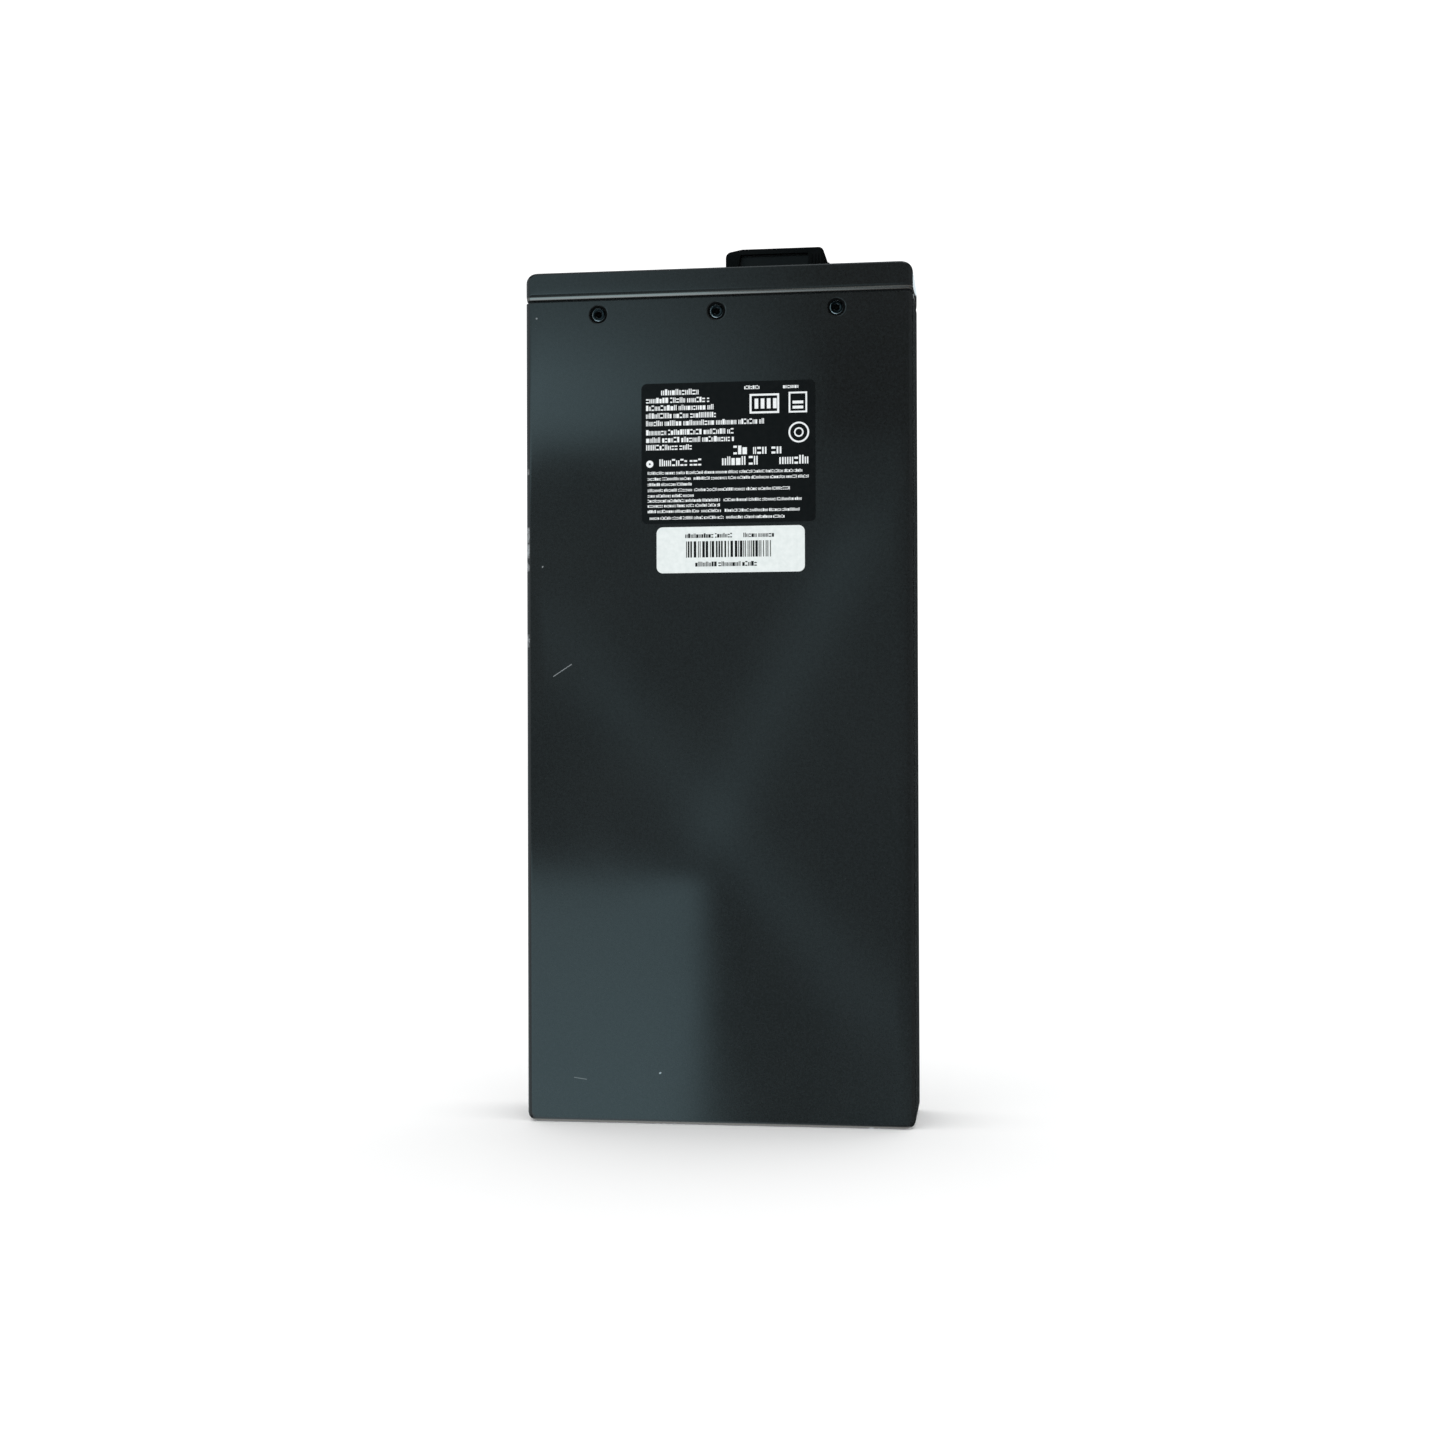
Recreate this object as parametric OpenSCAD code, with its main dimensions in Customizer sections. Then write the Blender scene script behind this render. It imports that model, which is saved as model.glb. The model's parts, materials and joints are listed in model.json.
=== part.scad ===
// Flat hard-cased lithium battery pack: two stacks of pouch cells, a management
// board and a covered power connector inside a metal can closed by an end cap.
// Frame: origin at the middle of the base, +Z towards the end cap, label face at -Y.

/* [Case] */
// Width of the pack across its label face
case_w = 140; // [136:1:150]
// Thickness of the pack from front to back
case_t = 40; // [40:1:41]
// Height of the can, without the end cap
case_h = 296.2; // [290:0.1:320]
// Wall of the can
wall = 1.5; // [1.5:0.1:1.6]
// Floor of the can
floor_t = 2; // [1.6:0.1:2.4]
// Radius of the long upright edges
edge_r = 2.5; // [2:0.1:3]
// Radius of the corners seen on the label face
corner_r = 3.4; // [2.6:0.1:4]

/* [End cap] */
// Height of the part of the cap that shows above the can
cap_h = 10.3; // [9:0.1:12]
// Dark gap between can and cap, filled by the gasket
seam_gap = 0.5; // [0.4:0.1:0.8]
// Radius of the rolled lip along the lower edge of the cap
lip_r = 1.8; // [1:0.1:2]
// Depth of the skirt that plugs into the can
skirt_h = 12.7; // [12:0.1:14]
// Distance between neighbouring case screws
screw_pitch = 43; // [38:1:46]

/* [Connector] */
// Middle of the connector along X
conn_x = 20.2; // [16:0.1:24]
// Width of the flip cover
cover_w = 35.6; // [35.6:0.1:36]
// Height of the flip cover above the cap
cover_h = 7.8; // [7.8:0.1:8]
// Angle of the flip cover: 0 is shut
cover_angle = 0; // [0:1:110]

/* [Cells] */
// Thickness of one pouch cell
cell_t = 8.1; // [7.6:0.1:8.1]
// Foam pad between neighbouring cells
pad_t = 1; // [0.8:0.1:1]

/* [Hidden] */
$fn = 48;

// Hair that cutting shapes stand past the face they cut
over = 1;

// Can and cap levels
in_w = case_w - 2 * wall;
in_t = case_t - 2 * wall;
cap_z = case_h + seam_gap;
cap_top = cap_z + cap_h;
cap_plate = 2.5;
cap_wall = 2.5;
cap_under = cap_top - cap_plate;
top_edge_r = 1;
base_edge_r = 1.6;
skirt_gap = 0.2;
skirt_wall = 2;
skirt_w = in_w - 2 * skirt_gap;
skirt_t = in_t - 2 * skirt_gap;
flange_top = cap_z + 2.3;

// M3 countersunk screws that hold the cap
screw_z = cap_z - 5.4;
screw_rows = [-screw_pitch, 0, screw_pitch];
m3_r = 1.5;
m3_head_r = 2.7;
m3_sink_r = 3.2;
m3_hole_r = 1.7;
m3_seat = 0.47;
boss_r = 4;
boss_len = 7;

// Labels, as they sit on the front face
label_t = 0.1;
rating_size = [62.7, 50.4];
rating_place = [4.05, 240.5];
barcode_size = [53.4, 16.5];
barcode_place = [4.8, 205.75];

// Connector, measured from the top face of the cap
front_y = -12;
skirt_face_t = 1.4;
cover_side_t = 1.5;
cover_top_t = 1.6;
cover_foot = 0.4;
hinge_y = 12;
hinge_z = 5.5;
hinge_r = 2.2;
pin_r = 1;
housing_x = 16;
housing_front = -10.2;
housing_back = 9.6;
housing_rear = 14.2;
rim_z = 5.4;
knuckle_x = 10.8;
mouth_x = 13;
mouth_y = [-7.3, 6.7];
block_top = -4.6;
block_base = -13;
power_x = 8.5;

// Status window, measured from the top face of the cap
button_x = -18;
button_r = 4.9;
button_proud = 0.8;
button_travel = 1.2;
led_first_x = -30;
led_pitch = 7;
led_count = 4;
status_z = cap_top - 10;
status_t = 1.2;
status_x = [-57, -7];
vent_x = -61;

// Stack of cells, layer by layer from the floor
cell_w = in_w - 13;
pad_h = 3;
stack_z = floor_t + pad_h;
carrier_z = cap_z - 44.7;
stack_pitch = (carrier_z + 1 - stack_z) / 2;
tail_h = 18;
cell_h = stack_pitch - tail_h;
terrace_h = 7;
cell_step = cell_t + pad_t;
sheet_t = 0.5;
stack_t = 4 * cell_t + 3 * pad_t;
tray_z = 9;
tray_t = 3;
bar_t = 1;
tab_t = 0.3;
tab_x = 30;
tab_w = 22;
fold_len = 3.6;
outer_fold_len = 2.4;
tray_w = cell_w + 4;
tray_top = stack_pitch - 1;
link_x = in_w / 2 - 2.5;
link_t = 1;
riser_x = [-48, -42];

// Thermistor beads between the stacks and the right side wall
bead_x = cell_w / 2 + 2.8;
bead_y = [8.3, 11.6];
bead_r = 1.1;

// Management board
board_z = carrier_z + 5;
board_t = 1.6;
board_top = board_z + board_t;
board_size = [128, 33];
board_holes = [58, 12];
transistor_count = 6;
transistor_pitch = 11.5;
transistor_x = -44;
// Controller, balancer and small parts: [x, y, width, depth, height]
chip_places = [[-20, -7, 10, 10, 1.4], [-38, -8, 7, 5, 1.5], [-50, -8, 5, 6, 1.2],
    [30, -9, 6, 6, 1.6], [-6, -12, 4, 2.5, 1]];

// Wires from the board up to the connector and the status board
lead_top = cap_top - 20.5;
lead_r = 1.8;
signal_r = 0.5;

// Outlines ------------------------------------------------------------------

// Rectangle with round corners, centred
module round_rect(w, h, r) {
    square([w - 2 * r, h], center = true);
    square([w, h - 2 * r], center = true);
    for (x = [-1, 1], y = [-1, 1])
        translate([x * (w / 2 - r), y * (h / 2 - r)])
            circle(r);
}

// Upright panel standing on y = 0 with its own radius on the lower and upper corners
module panel_outline(w, h, low_r, high_r) {
    translate([-w / 2, low_r])
        square([w, h - low_r - high_r]);
    translate([-w / 2 + low_r, 0])
        square([w - 2 * low_r, h / 2]);
    translate([-w / 2 + high_r, h / 2])
        square([w - 2 * high_r, h / 2]);
    for (x = [-1, 1]) {
        translate([x * (w / 2 - low_r), low_r])
            circle(low_r);
        if (high_r > 0.1)
            translate([x * (w / 2 - high_r), h - high_r])
                circle(high_r);
    }
}

// Rounded block made of three crossing extrusions
module rounded_shell(w, t, h, low_face_r, high_face_r, low_side_r, high_side_r) {
    intersection() {
        linear_extrude(h)
            round_rect(w, t, edge_r);
        rotate([90, 0, 0])
            linear_extrude(t + 2 * over, center = true)
                panel_outline(w, h, low_face_r, high_face_r);
        rotate([90, 0, 90])
            linear_extrude(w + 2 * over, center = true)
                panel_outline(t, h, low_side_r, high_side_r);
    }
}

// Places a child at every case screw; +Z points out of the case
module at_case_screws() {
    for (x = screw_rows, side = [0, 1])
        mirror([0, side, 0])
            translate([x, -case_t / 2, screw_z])
                rotate([90, 0, 0])
                    children();
}

module box(x, y, z) {
    translate([x[0], y[0], z[0]])
        cube([x[1] - x[0], y[1] - y[0], z[1] - z[0]]);
}

// Flat plate lying in the XY plane with round corners
module plate(w, t, z, thick, r) {
    translate([0, 0, z])
        linear_extrude(thick)
            round_rect(w, t, r);
}

// Housing ---------------------------------------------------------------------

module case() {
    color("#39434a")
        difference() {
            rounded_shell(case_w, case_t, case_h, corner_r, 0, base_edge_r, 0);
            plate(in_w, in_t, floor_t, case_h, edge_r - wall);
            at_case_screws() {
                translate([0, 0, -wall - over])
                    cylinder(h = wall + 2 * over, r = m3_hole_r);
                translate([0, 0, -wall])
                    cylinder(h = wall, r1 = m3_hole_r, r2 = m3_sink_r);
                cylinder(h = over, r = m3_sink_r);
            }
        }
}

module end_cap() {
    color("#3d474e")
        difference() {
            union() {
                translate([0, 0, cap_z])
                    rounded_shell(case_w, case_t, cap_h, lip_r, corner_r, lip_r, top_edge_r);
                plate(skirt_w, skirt_t, cap_z - skirt_h, skirt_h + over, edge_r - wall);
            }
            difference() {
                plate(skirt_w - 2 * skirt_wall, skirt_t - 2 * skirt_wall,
                    cap_z - skirt_h - over, skirt_h + 2 * over + 1.3, 1);
                at_case_screws()
                    translate([0, 0, -wall - boss_len])
                        cylinder(h = boss_len, r = boss_r);
            }
            plate(case_w - 2 * cap_wall, case_t - 2 * cap_wall, flange_top,
                cap_under - flange_top, 1.5);
            at_case_screws()
                translate([0, 0, -wall - boss_len - over])
                    cylinder(h = boss_len + 2 * over, r = m3_r + 0.03);
            box([conn_x - housing_x - 0.2, conn_x + housing_x + 0.2],
                [housing_front - 0.2, housing_rear + 0.2], [cap_under - over, cap_top + over]);
            translate([button_x, 0, cap_under - over])
                cylinder(h = cap_plate + 2 * over, r = button_r + 0.1);
            at_leds(cap_under - over)
                cylinder(h = cap_plate + 2 * over, r = 1.5);
            translate([vent_x, 0, cap_under - over])
                cylinder(h = cap_plate + 2 * over, r = 3);
        }
    color("#3d474e")
        status_posts();
}

// Posts under the cap that carry the status board
module status_posts() {
    for (x = [status_x[0] + 3, status_x[1] - 3])
        translate([x, 6, status_z + status_t])
            difference() {
                cylinder(h = cap_under - status_z - status_t + 0.2, r = 2.4);
                translate([0, 0, -over])
                    cylinder(h = 5 + over, r = 1.03);
            }
}

module cap_gasket() {
    color("#0c0e0f")
        difference() {
            plate(case_w - 1.6, case_t - 1.6, case_h, seam_gap, edge_r - 0.8);
            plate(skirt_w + 0.2, skirt_t + 0.2, case_h - over, seam_gap + 2 * over, edge_r - wall);
        }
}

module case_screws() {
    color("#1b1d1e")
        at_case_screws()
            difference() {
                union() {
                    translate([0, 0, -m3_seat - (m3_head_r - m3_r)])
                        cylinder(h = m3_head_r - m3_r, r1 = m3_r, r2 = m3_head_r);
                    translate([0, 0, -wall - boss_len])
                        cylinder(h = boss_len + 0.6, r = m3_r);
                }
                translate([0, 0, -m3_seat - 1])
                    cylinder(h = 1 + over, r = 1.15, $fn = 6);
            }
}

// Printed film on the front face
module label_film(size, place, r) {
    translate([place[0], -case_t / 2, place[1]])
        rotate([90, 0, 0])
            linear_extrude(label_t)
                round_rect(size[0], size[1], r);
}

module rating_label() {
    color("#14181a")
        label_film(rating_size, rating_place, 2);
}

module barcode_label() {
    color("#eceff1")
        label_film(barcode_size, barcode_place, 2.2);
}

// Connector ---------------------------------------------------------------------

// Moves children to the middle of the connector on the top face of the cap
module at_connector() {
    translate([conn_x, 0, cap_top])
        children();
}

// Cylinder along X around the hinge line
module along_hinge(x, r) {
    translate([x[0], hinge_y, hinge_z])
        rotate([0, 90, 0])
            cylinder(h = x[1] - x[0], r = r);
}

module connector_housing() {
    color("#22282b")
        at_connector()
            difference() {
                union() {
                    box([-housing_x, housing_x], [housing_front, housing_back], [-13, rim_z]);
                    box([-housing_x, housing_x], [housing_back, housing_rear], [-5, 1.2]);
                    box([-knuckle_x, knuckle_x], [housing_back - 0.2, housing_rear], [0, hinge_z]);
                    box([-20, 20], [-13.5, 17], [-5, -3]);
                    along_hinge([-knuckle_x, knuckle_x], hinge_r);
                }
                box([-mouth_x, mouth_x], mouth_y, [-14, rim_z + over]);
                along_hinge([-knuckle_x - over, knuckle_x + over], pin_r + 0.02);
                at_housing_screws(-6)
                    cylinder(h = 4, r = 1.2);
            }
}

// Two screws that clamp the housing's flange from inside the cap
module at_housing_screws(z) {
    for (x = [-18, 18])
        translate([x, 0, z])
            children();
}

module connector_gasket() {
    color("#101213")
        at_connector()
            difference() {
                box([-19.5, 19.5], [-13.2, 16.8], [-3, -2.5]);
                box([-housing_x - 0.2, housing_x + 0.2],
                    [housing_front - 0.2, housing_rear + 0.2], [-3 - over, -2.5 + over]);
                at_housing_screws(-3 - over)
                    cylinder(h = 3, r = 1.2);
            }
}

module connector_screws() {
    color("#8f9498")
        at_connector()
            at_housing_screws(-6.5)
                difference() {
                    union() {
                        cylinder(h = 1.5, r = 1.9);
                        cylinder(h = 4, r = 1);
                    }
                    translate([0, 0, -0.1])
                        cylinder(h = 0.9, r = 0.9, $fn = 6);
                }
}

module contact_block() {
    color("#3b4a55")
        at_connector()
            difference() {
                box([-mouth_x + 0.1, mouth_x - 0.1], [mouth_y[0] + 0.1, mouth_y[1] - 0.1],
                    [block_base, block_top]);
                at_power_contacts(block_base - over)
                    box([-3.1, 3.1], [-1.5, 1.5], [0, 12]);
                at_signal_contacts(block_base - over)
                    box([-0.9, 0.9], [-0.9, 0.9], [0, 12]);
            }
}

module at_power_contacts(z) {
    for (x = [-power_x, power_x])
        translate([x, -0.3, z])
            children();
}

module at_signal_contacts(z) {
    for (x = [-1.8, 1.8], y = [-3.3, 0.7, 4.1])
        translate([x, y - 0.7, z])
            children();
}

// Slotted blade sockets with a round crimp barrel below
module power_contacts() {
    color("#c9a24a")
        at_connector()
            at_power_contacts(0)
                difference() {
                    union() {
                        box([-3, 3], [-1.4, 1.4], [-15, -5.2]);
                        translate([0, 0, -21])
                            cylinder(h = 6.5, r = 2.6);
                    }
                    box([-3 - over, 3 + over], [-0.5, 0.5], [-12, -5]);
                    translate([0, 0, -22])
                        cylinder(h = 5, r = 1.9);
                }
}

// Square signal sockets with solder tails
module signal_contacts() {
    color("#d4b45c")
        at_connector()
            at_signal_contacts(0) {
                difference() {
                    box([-0.8, 0.8], [-0.8, 0.8], [-12, -5.2]);
                    box([-0.35, 0.35], [-0.35, 0.35], [-9, -5]);
                }
                box([-0.32, 0.32], [-0.32, 0.32], [-16, -12]);
            }
}

// Front outline of the flip cover: a long shallow chamfer left, a round corner right
module cover_outline() {
    side = cover_w / 2;
    right_r = 2;
    left_r = 2.2;
    chamfer = [4.2, 0.79];
    left_c = [-side + left_r, cover_h - 2.95];
    right_c = [side - right_r, cover_h - right_r];
    polygon([[-side, cover_foot], [side, cover_foot], [side, right_c[1]], [right_c[0], cover_h],
        [-side + 1.8 + chamfer[0], cover_h], [-side + 1.8, cover_h - chamfer[1]],
        [-side, left_c[1]]]);
    translate(right_c)
        circle(right_r);
    translate(left_c)
        circle(left_r);
}

// Upright slab in the XZ plane between two depths
module across_depth(y) {
    translate([0, y[1], 0])
        rotate([90, 0, 0])
            linear_extrude(y[1] - y[0])
                children();
}

module connector_cover() {
    inner_x = cover_w / 2 - cover_side_t;
    color("#15191a")
        at_connector()
            swing()
                difference() {
                    union() {
                        across_depth([front_y, hinge_y])
                            cover_outline();
                        for (side = [-1, 1])
                            along_hinge(side > 0 ? [knuckle_x + 0.3, cover_w / 2]
                                : [-cover_w / 2, -knuckle_x - 0.3], hinge_r);
                        grip_ribs();
                    }
                    difference() {
                        box([-inner_x, inner_x], [front_y + skirt_face_t, hinge_y + hinge_r + over],
                            [-over, cover_h - cover_top_t]);
                        for (side = [-1, 1])
                            along_hinge(side > 0 ? [knuckle_x + 0.3, cover_w / 2]
                                : [-cover_w / 2, -knuckle_x - 0.3], hinge_r);
                    }
                    box([-knuckle_x - 0.3, knuckle_x + 0.3], [hinge_y - 2.6, hinge_y + 3],
                        [-over, cover_h + over]);
                    across_depth([front_y - over, front_y + skirt_face_t + 0.1])
                        polygon([[-13.8, -over], [12.1, -over], [12.1, 5.9], [-12.4, 5.9]]);
                    along_hinge([-cover_w / 2 - over, cover_w / 2 + over], pin_r + 0.05);
                }
}

// Finger ribs on the right end of the front skirt
module grip_ribs() {
    for (i = [0:3])
        box([13.1 + i * 1.1, 13.6 + i * 1.1], [front_y - 0.3, front_y + 0.5], [1, 5.4]);
}

// Turns the flip cover about its hinge line
module swing() {
    translate([0, hinge_y, hinge_z])
        rotate([-cover_angle, 0, 0])
            translate([0, -hinge_y, -hinge_z])
                children();
}

module cover_seal() {
    color("#2b2f31")
        at_connector()
            swing()
                box([-15, 15], [-9.8, 8.6], [rim_z + 0.2, cover_h - cover_top_t]);
}

module cover_pin() {
    color("#a7abae")
        at_connector()
            along_hinge([-cover_w / 2 + 0.5, cover_w / 2 - 0.5], pin_r);
}

// Status window ---------------------------------------------------------------

module at_leds(z) {
    for (i = [0:led_count - 1])
        translate([led_first_x - i * led_pitch, 0, z])
            children();
}

module status_button() {
    color("#4a5257")
        translate([button_x, 0, cap_top]) {
            difference() {
                translate([0, 0, -cap_plate - 0.1])
                    cylinder(h = cap_plate + 0.1 + button_proud, r = button_r);
                translate([0, 0, button_proud])
                    finger_dish();
            }
            translate([0, 0, -cap_plate - 1.2])
                cylinder(h = 1.1, r = button_r + 1.1);
            translate([0, 0, -cap_plate - 1.4])
                cylinder(h = 1, r = 1.6);
        }
}

// Shallow finger dish in the top of the button
module finger_dish() {
    dish_r = 20;
    translate([0, 0, dish_r - 0.4])
        sphere(dish_r, $fn = 96);
}

// Tube along a list of points, with a flat ring at each point
module tube_along(points, r, sides) {
    n = len(points);
    rings = [for (i = [0:n - 1])
        let (a = points[max(i - 1, 0)],
            b = points[min(i + 1, n - 1)],
            d = (b - a) / norm(b - a),
            side_ref = abs(d[0]) < 0.9 ? [1, 0, 0] : [0, 1, 0],
            u = cross(d, side_ref) / norm(cross(d, side_ref)),
            v = cross(d, u))
            for (k = [0:sides - 1])
                points[i] + r * (cos(360 * k / sides) * u + sin(360 * k / sides) * v)];
    walls = [for (i = [0:n - 2], k = [0:sides - 1])
        [i * sides + k, i * sides + (k + 1) % sides,
            (i + 1) * sides + (k + 1) % sides, (i + 1) * sides + k]];
    first_end = [for (k = [sides - 1:-1:0]) k];
    last_end = [for (k = [0:sides - 1]) (n - 1) * sides + k];
    polyhedron(rings, concat([first_end], walls, [last_end]), convexity = 6);
}

module button_spring() {
    wire_r = 0.25;
    mean_r = 4.9;
    turns = 3.5;
    steps = 16;
    low = status_z + status_t + wire_r + 0.03;
    high = cap_under - 1.2 - wire_r - 0.03;
    color("#b9bdc0")
        tube_along([for (i = [0:turns * steps])
            let (a = 360 * i / steps, f = i / (turns * steps))
                [button_x + mean_r * cos(a), mean_r * sin(a), low + (high - low) * f]],
            wire_r, 6);
}

module button_switch() {
    color("#2a2d2f")
        translate([button_x, 0, status_z + status_t]) {
            box([-3, 3], [-3, 3], [0, 3.2]);
            cylinder(h = 3.6, r = 1.7);
        }
}

module light_pipe() {
    last_x = led_first_x - (led_count - 1) * led_pitch;
    color("#dfe6ea", 0.6) {
        box([last_x - 2, led_first_x + 2], [-2, 2], [cap_under - 2.4, cap_under]);
        at_leds(cap_under - 0.2)
            cylinder(h = cap_plate + 0.2, r = 1.4);
    }
}

module status_board() {
    color("#1f5a3a")
        difference() {
            box(status_x, [-8, 8.6], [status_z, status_z + status_t]);
            at_status_screws(status_z - over)
                cylinder(h = status_t + 2 * over, r = 1.1);
        }
}

module at_status_screws(z) {
    for (x = [status_x[0] + 3, status_x[1] - 3])
        translate([x, 6, z])
            children();
}

module status_leds() {
    color("#e8efe6")
        at_leds(status_z + status_t)
            box([-1.6, 1.6], [-1.4, 1.4], [0, 1.6]);
}

module status_board_screws() {
    color("#8f9498")
        at_status_screws(status_z - 1.3)
            difference() {
                union() {
                    cylinder(h = 1.3, r = 1.8);
                    cylinder(h = 6, r = 1);
                }
                translate([0, 0, -0.1])
                    cylinder(h = 0.8, r = 0.8, $fn = 6);
            }
}

module vent_plug() {
    color("#101314")
        translate([vent_x, 0, cap_top])
            difference() {
                union() {
                    cylinder(h = 1, r = 4.6);
                    translate([0, 0, -4.5])
                        cylinder(h = 5, r = 2.9);
                    translate([0, 0, -cap_plate - 1.2])
                        cylinder(h = 1, r = 3.3);
                }
                translate([0, 0, -5])
                    cylinder(h = 4.8, r = 1.8);
                for (a = [0:60:300])
                    rotate(a)
                        box([1, 3.4], [-0.3, 0.3], [0.5, 1 + over]);
            }
}

// Cells -------------------------------------------------------------------------

// Front edge of cell number i of a stack, counted from the label face
function cell_y(i) = -stack_t / 2 + i * cell_step;
// Middle plane of that cell
function cell_mid(i) = cell_y(i) + cell_t / 2;
// Height at which a stack begins: 0 is the lower one
function level_z(level) = stack_z + level * stack_pitch;

module bottom_pad() {
    color("#2e3234")
        plate(in_w - 1, in_t - 1, floor_t, pad_h, 1);
}

// Pouch with its folded side seams and the flat sealed terrace under its tabs
module pouch_cell(number) {
    level = floor((number - 1) / 4);
    place = (number - 1) % 4;
    z = level_z(level);
    y = cell_y(place);
    color("#b9bec3") {
        across_depth([y, y + cell_t])
            translate([0, z + cell_h / 2])
                round_rect(cell_w, cell_h, 2.5);
        box([-cell_w / 2 + 5, cell_w / 2 - 5], [cell_mid(place) - 0.2, cell_mid(place) + 0.2],
            [z + cell_h - 1, z + cell_h + terrace_h]);
        for (side = [-1, 1])
            translate([side * (cell_w / 2 + 0.4), y + cell_t * 0.3, z + cell_h / 2])
                cube([1, cell_t * 0.5, cell_h - 12], center = true);
    }
}

module cell_1() { pouch_cell(1); }
module cell_2() { pouch_cell(2); }
module cell_3() { pouch_cell(3); }
module cell_4() { pouch_cell(4); }
module cell_5() { pouch_cell(5); }
module cell_6() { pouch_cell(6); }
module cell_7() { pouch_cell(7); }
module cell_8() { pouch_cell(8); }

// Side of the pack, -1 left or 1 right, on which a cell carries its aluminium tab
function plus_side(level, place) = ((place + level) % 2 == 0) ? -1 : 1;
// Way in which the tab on one side folds over its bus bar
function fold_way(side, place) = side > 0 ? (place % 2 == 0 ? 1 : -1) : (place % 2 == 0 ? -1 : 1);

// One tab: it rises from the terrace, passes the tray and folds over the bus bar
module cell_tab(level, place, side) {
    z = level_z(level) + cell_h;
    y = cell_mid(place);
    way = fold_way(side, place);
    fold = (place + way < 0 || place + way > 3) ? outer_fold_len : fold_len;
    top = tray_z + tray_t + bar_t;
    translate([side * tab_x, y, z]) {
        box([-tab_w / 2, tab_w / 2], [-tab_t / 2, tab_t / 2], [terrace_h, top + tab_t]);
        box([-tab_w / 2, tab_w / 2], way > 0 ? [0, fold] : [-fold, 0], [top, top + tab_t]);
    }
}

module aluminium_tabs() {
    color("#c3c7ca")
        for (level = [0, 1], place = [0:3])
            cell_tab(level, place, plus_side(level, place));
}

module copper_tabs() {
    color("#c07a4b")
        for (level = [0, 1], place = [0:3])
            cell_tab(level, place, -plus_side(level, place));
}

module foam_pads() {
    color("#54585a")
        for (level = [0, 1], i = [0:2])
            box([-cell_w / 2 + 3, cell_w / 2 - 3], [cell_y(i) + cell_t, cell_y(i + 1)],
                [level_z(level) + 3, level_z(level) + cell_h - 3]);
}

// Insulating sheet between the stacks and one big wall of the can
module insulator(side) {
    y = stack_t / 2;
    box([-in_w / 2 + 1, in_w / 2 - 1], side < 0 ? [-y - sheet_t, -y] : [y, y + sheet_t],
        [stack_z, carrier_z]);
}

module front_insulator() {
    color("#8d9a86")
        insulator(-1);
}

module rear_insulator() {
    color("#8d9a86")
        insulator(1);
}

// Plastic tray that holds the tabs and bus bars on top of a stack
module tab_tray(level) {
    z = level_z(level) + cell_h + tray_z;
    color("#30363a")
        difference() {
            box([-tray_w / 2, tray_w / 2], [-stack_t / 2, stack_t / 2],
                [z, level_z(level) + tray_top]);
            box([-tray_w / 2 + 1.5, tray_w / 2 - 1.5], [-stack_t / 2 + 1.5, stack_t / 2 - 1.5],
                [z + tray_t, level_z(level) + tray_top + over]);
            for (side = [-1, 1], place = [0:3])
                translate([side * tab_x, cell_mid(place), z - over])
                    box([-tab_w / 2 - 1, tab_w / 2 + 1], [-0.6, 0.6], [0, tray_t + 2 * over]);
            for (y = [-1, 1])
                box([-tray_w / 2 - over, -tray_w / 2 + 2], [y * 13.65 - 3.2, y * 13.65 + 3.2],
                    [z + tray_t, z + tray_t + 3]);
        }
}

module tab_tray_lower() { tab_tray(0); }
module tab_tray_upper() { tab_tray(1); }

// Copper bars on a tray: two on the right, one and two terminals on the left
module bus_bars(level) {
    z = level_z(level) + cell_h + tray_z + tray_t;
    bar_z = [z, z + bar_t];
    half = tab_w / 2 + 1;
    color("#b87444") {
        for (i = [0, 2])
            box([tab_x - half, tab_x + half], [cell_mid(i) + 0.7, cell_mid(i + 1) - 0.7], bar_z);
        box([-tab_x - half, -tab_x + half], [cell_mid(1) + 0.7, cell_mid(2) - 0.7], bar_z);
        box([-tray_w / 2, -tab_x + half], [cell_mid(0) - 2.5, cell_mid(0) - 0.7], bar_z);
        box([-tray_w / 2, -tab_x + half], [cell_mid(3) + 0.7, cell_mid(3) + 2.5], bar_z);
    }
}

module bus_bars_lower() { bus_bars(0); }
module bus_bars_upper() { bus_bars(1); }

module divider_sheet() {
    color("#8d9a86")
        box([-in_w / 2 + 5, in_w / 2 - 5], [-stack_t / 2, stack_t / 2],
            [level_z(0) + tray_top, level_z(1)]);
}

// Height of the top of the bus bars of one stack
function bar_top(level) = level_z(level) + cell_h + tray_z + tray_t + bar_t;

// Sides of the upright copper strip on the left of the pack
function link_side() = [-link_x - link_t / 2, -link_x + link_t / 2];

// Joins the front terminal of the lower stack to that of the upper stack
module series_link() {
    y = [cell_mid(0) - 2.5, cell_mid(0) - 0.7];
    color("#b87444") {
        box(link_side(), y, [bar_top(0) - bar_t, bar_top(1)]);
        for (level = [0, 1])
            box([-link_x, -tray_w / 2], y, [bar_top(level) - bar_t, bar_top(level)]);
    }
}

// Runs from the rear terminal of the lower stack up to the board
module pack_negative_link() {
    y = [cell_mid(3) + 0.7, cell_mid(3) + 2.5];
    color("#b87444") {
        box(link_side(), y, [bar_top(0) - bar_t, board_top + link_t]);
        box([-link_x, -tray_w / 2], y, [bar_top(0) - bar_t, bar_top(0)]);
        box([-link_x, -board_size[0] / 2 + 4], y, [board_top, board_top + link_t]);
    }
}

// Rises from the rear terminal of the upper stack to the underside of the board
module pack_positive_link() {
    y = [cell_mid(3) + 0.7, cell_mid(3) + 2.5];
    color("#b87444")
        box(riser_x, y, [bar_top(1), board_z]);
}

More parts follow.
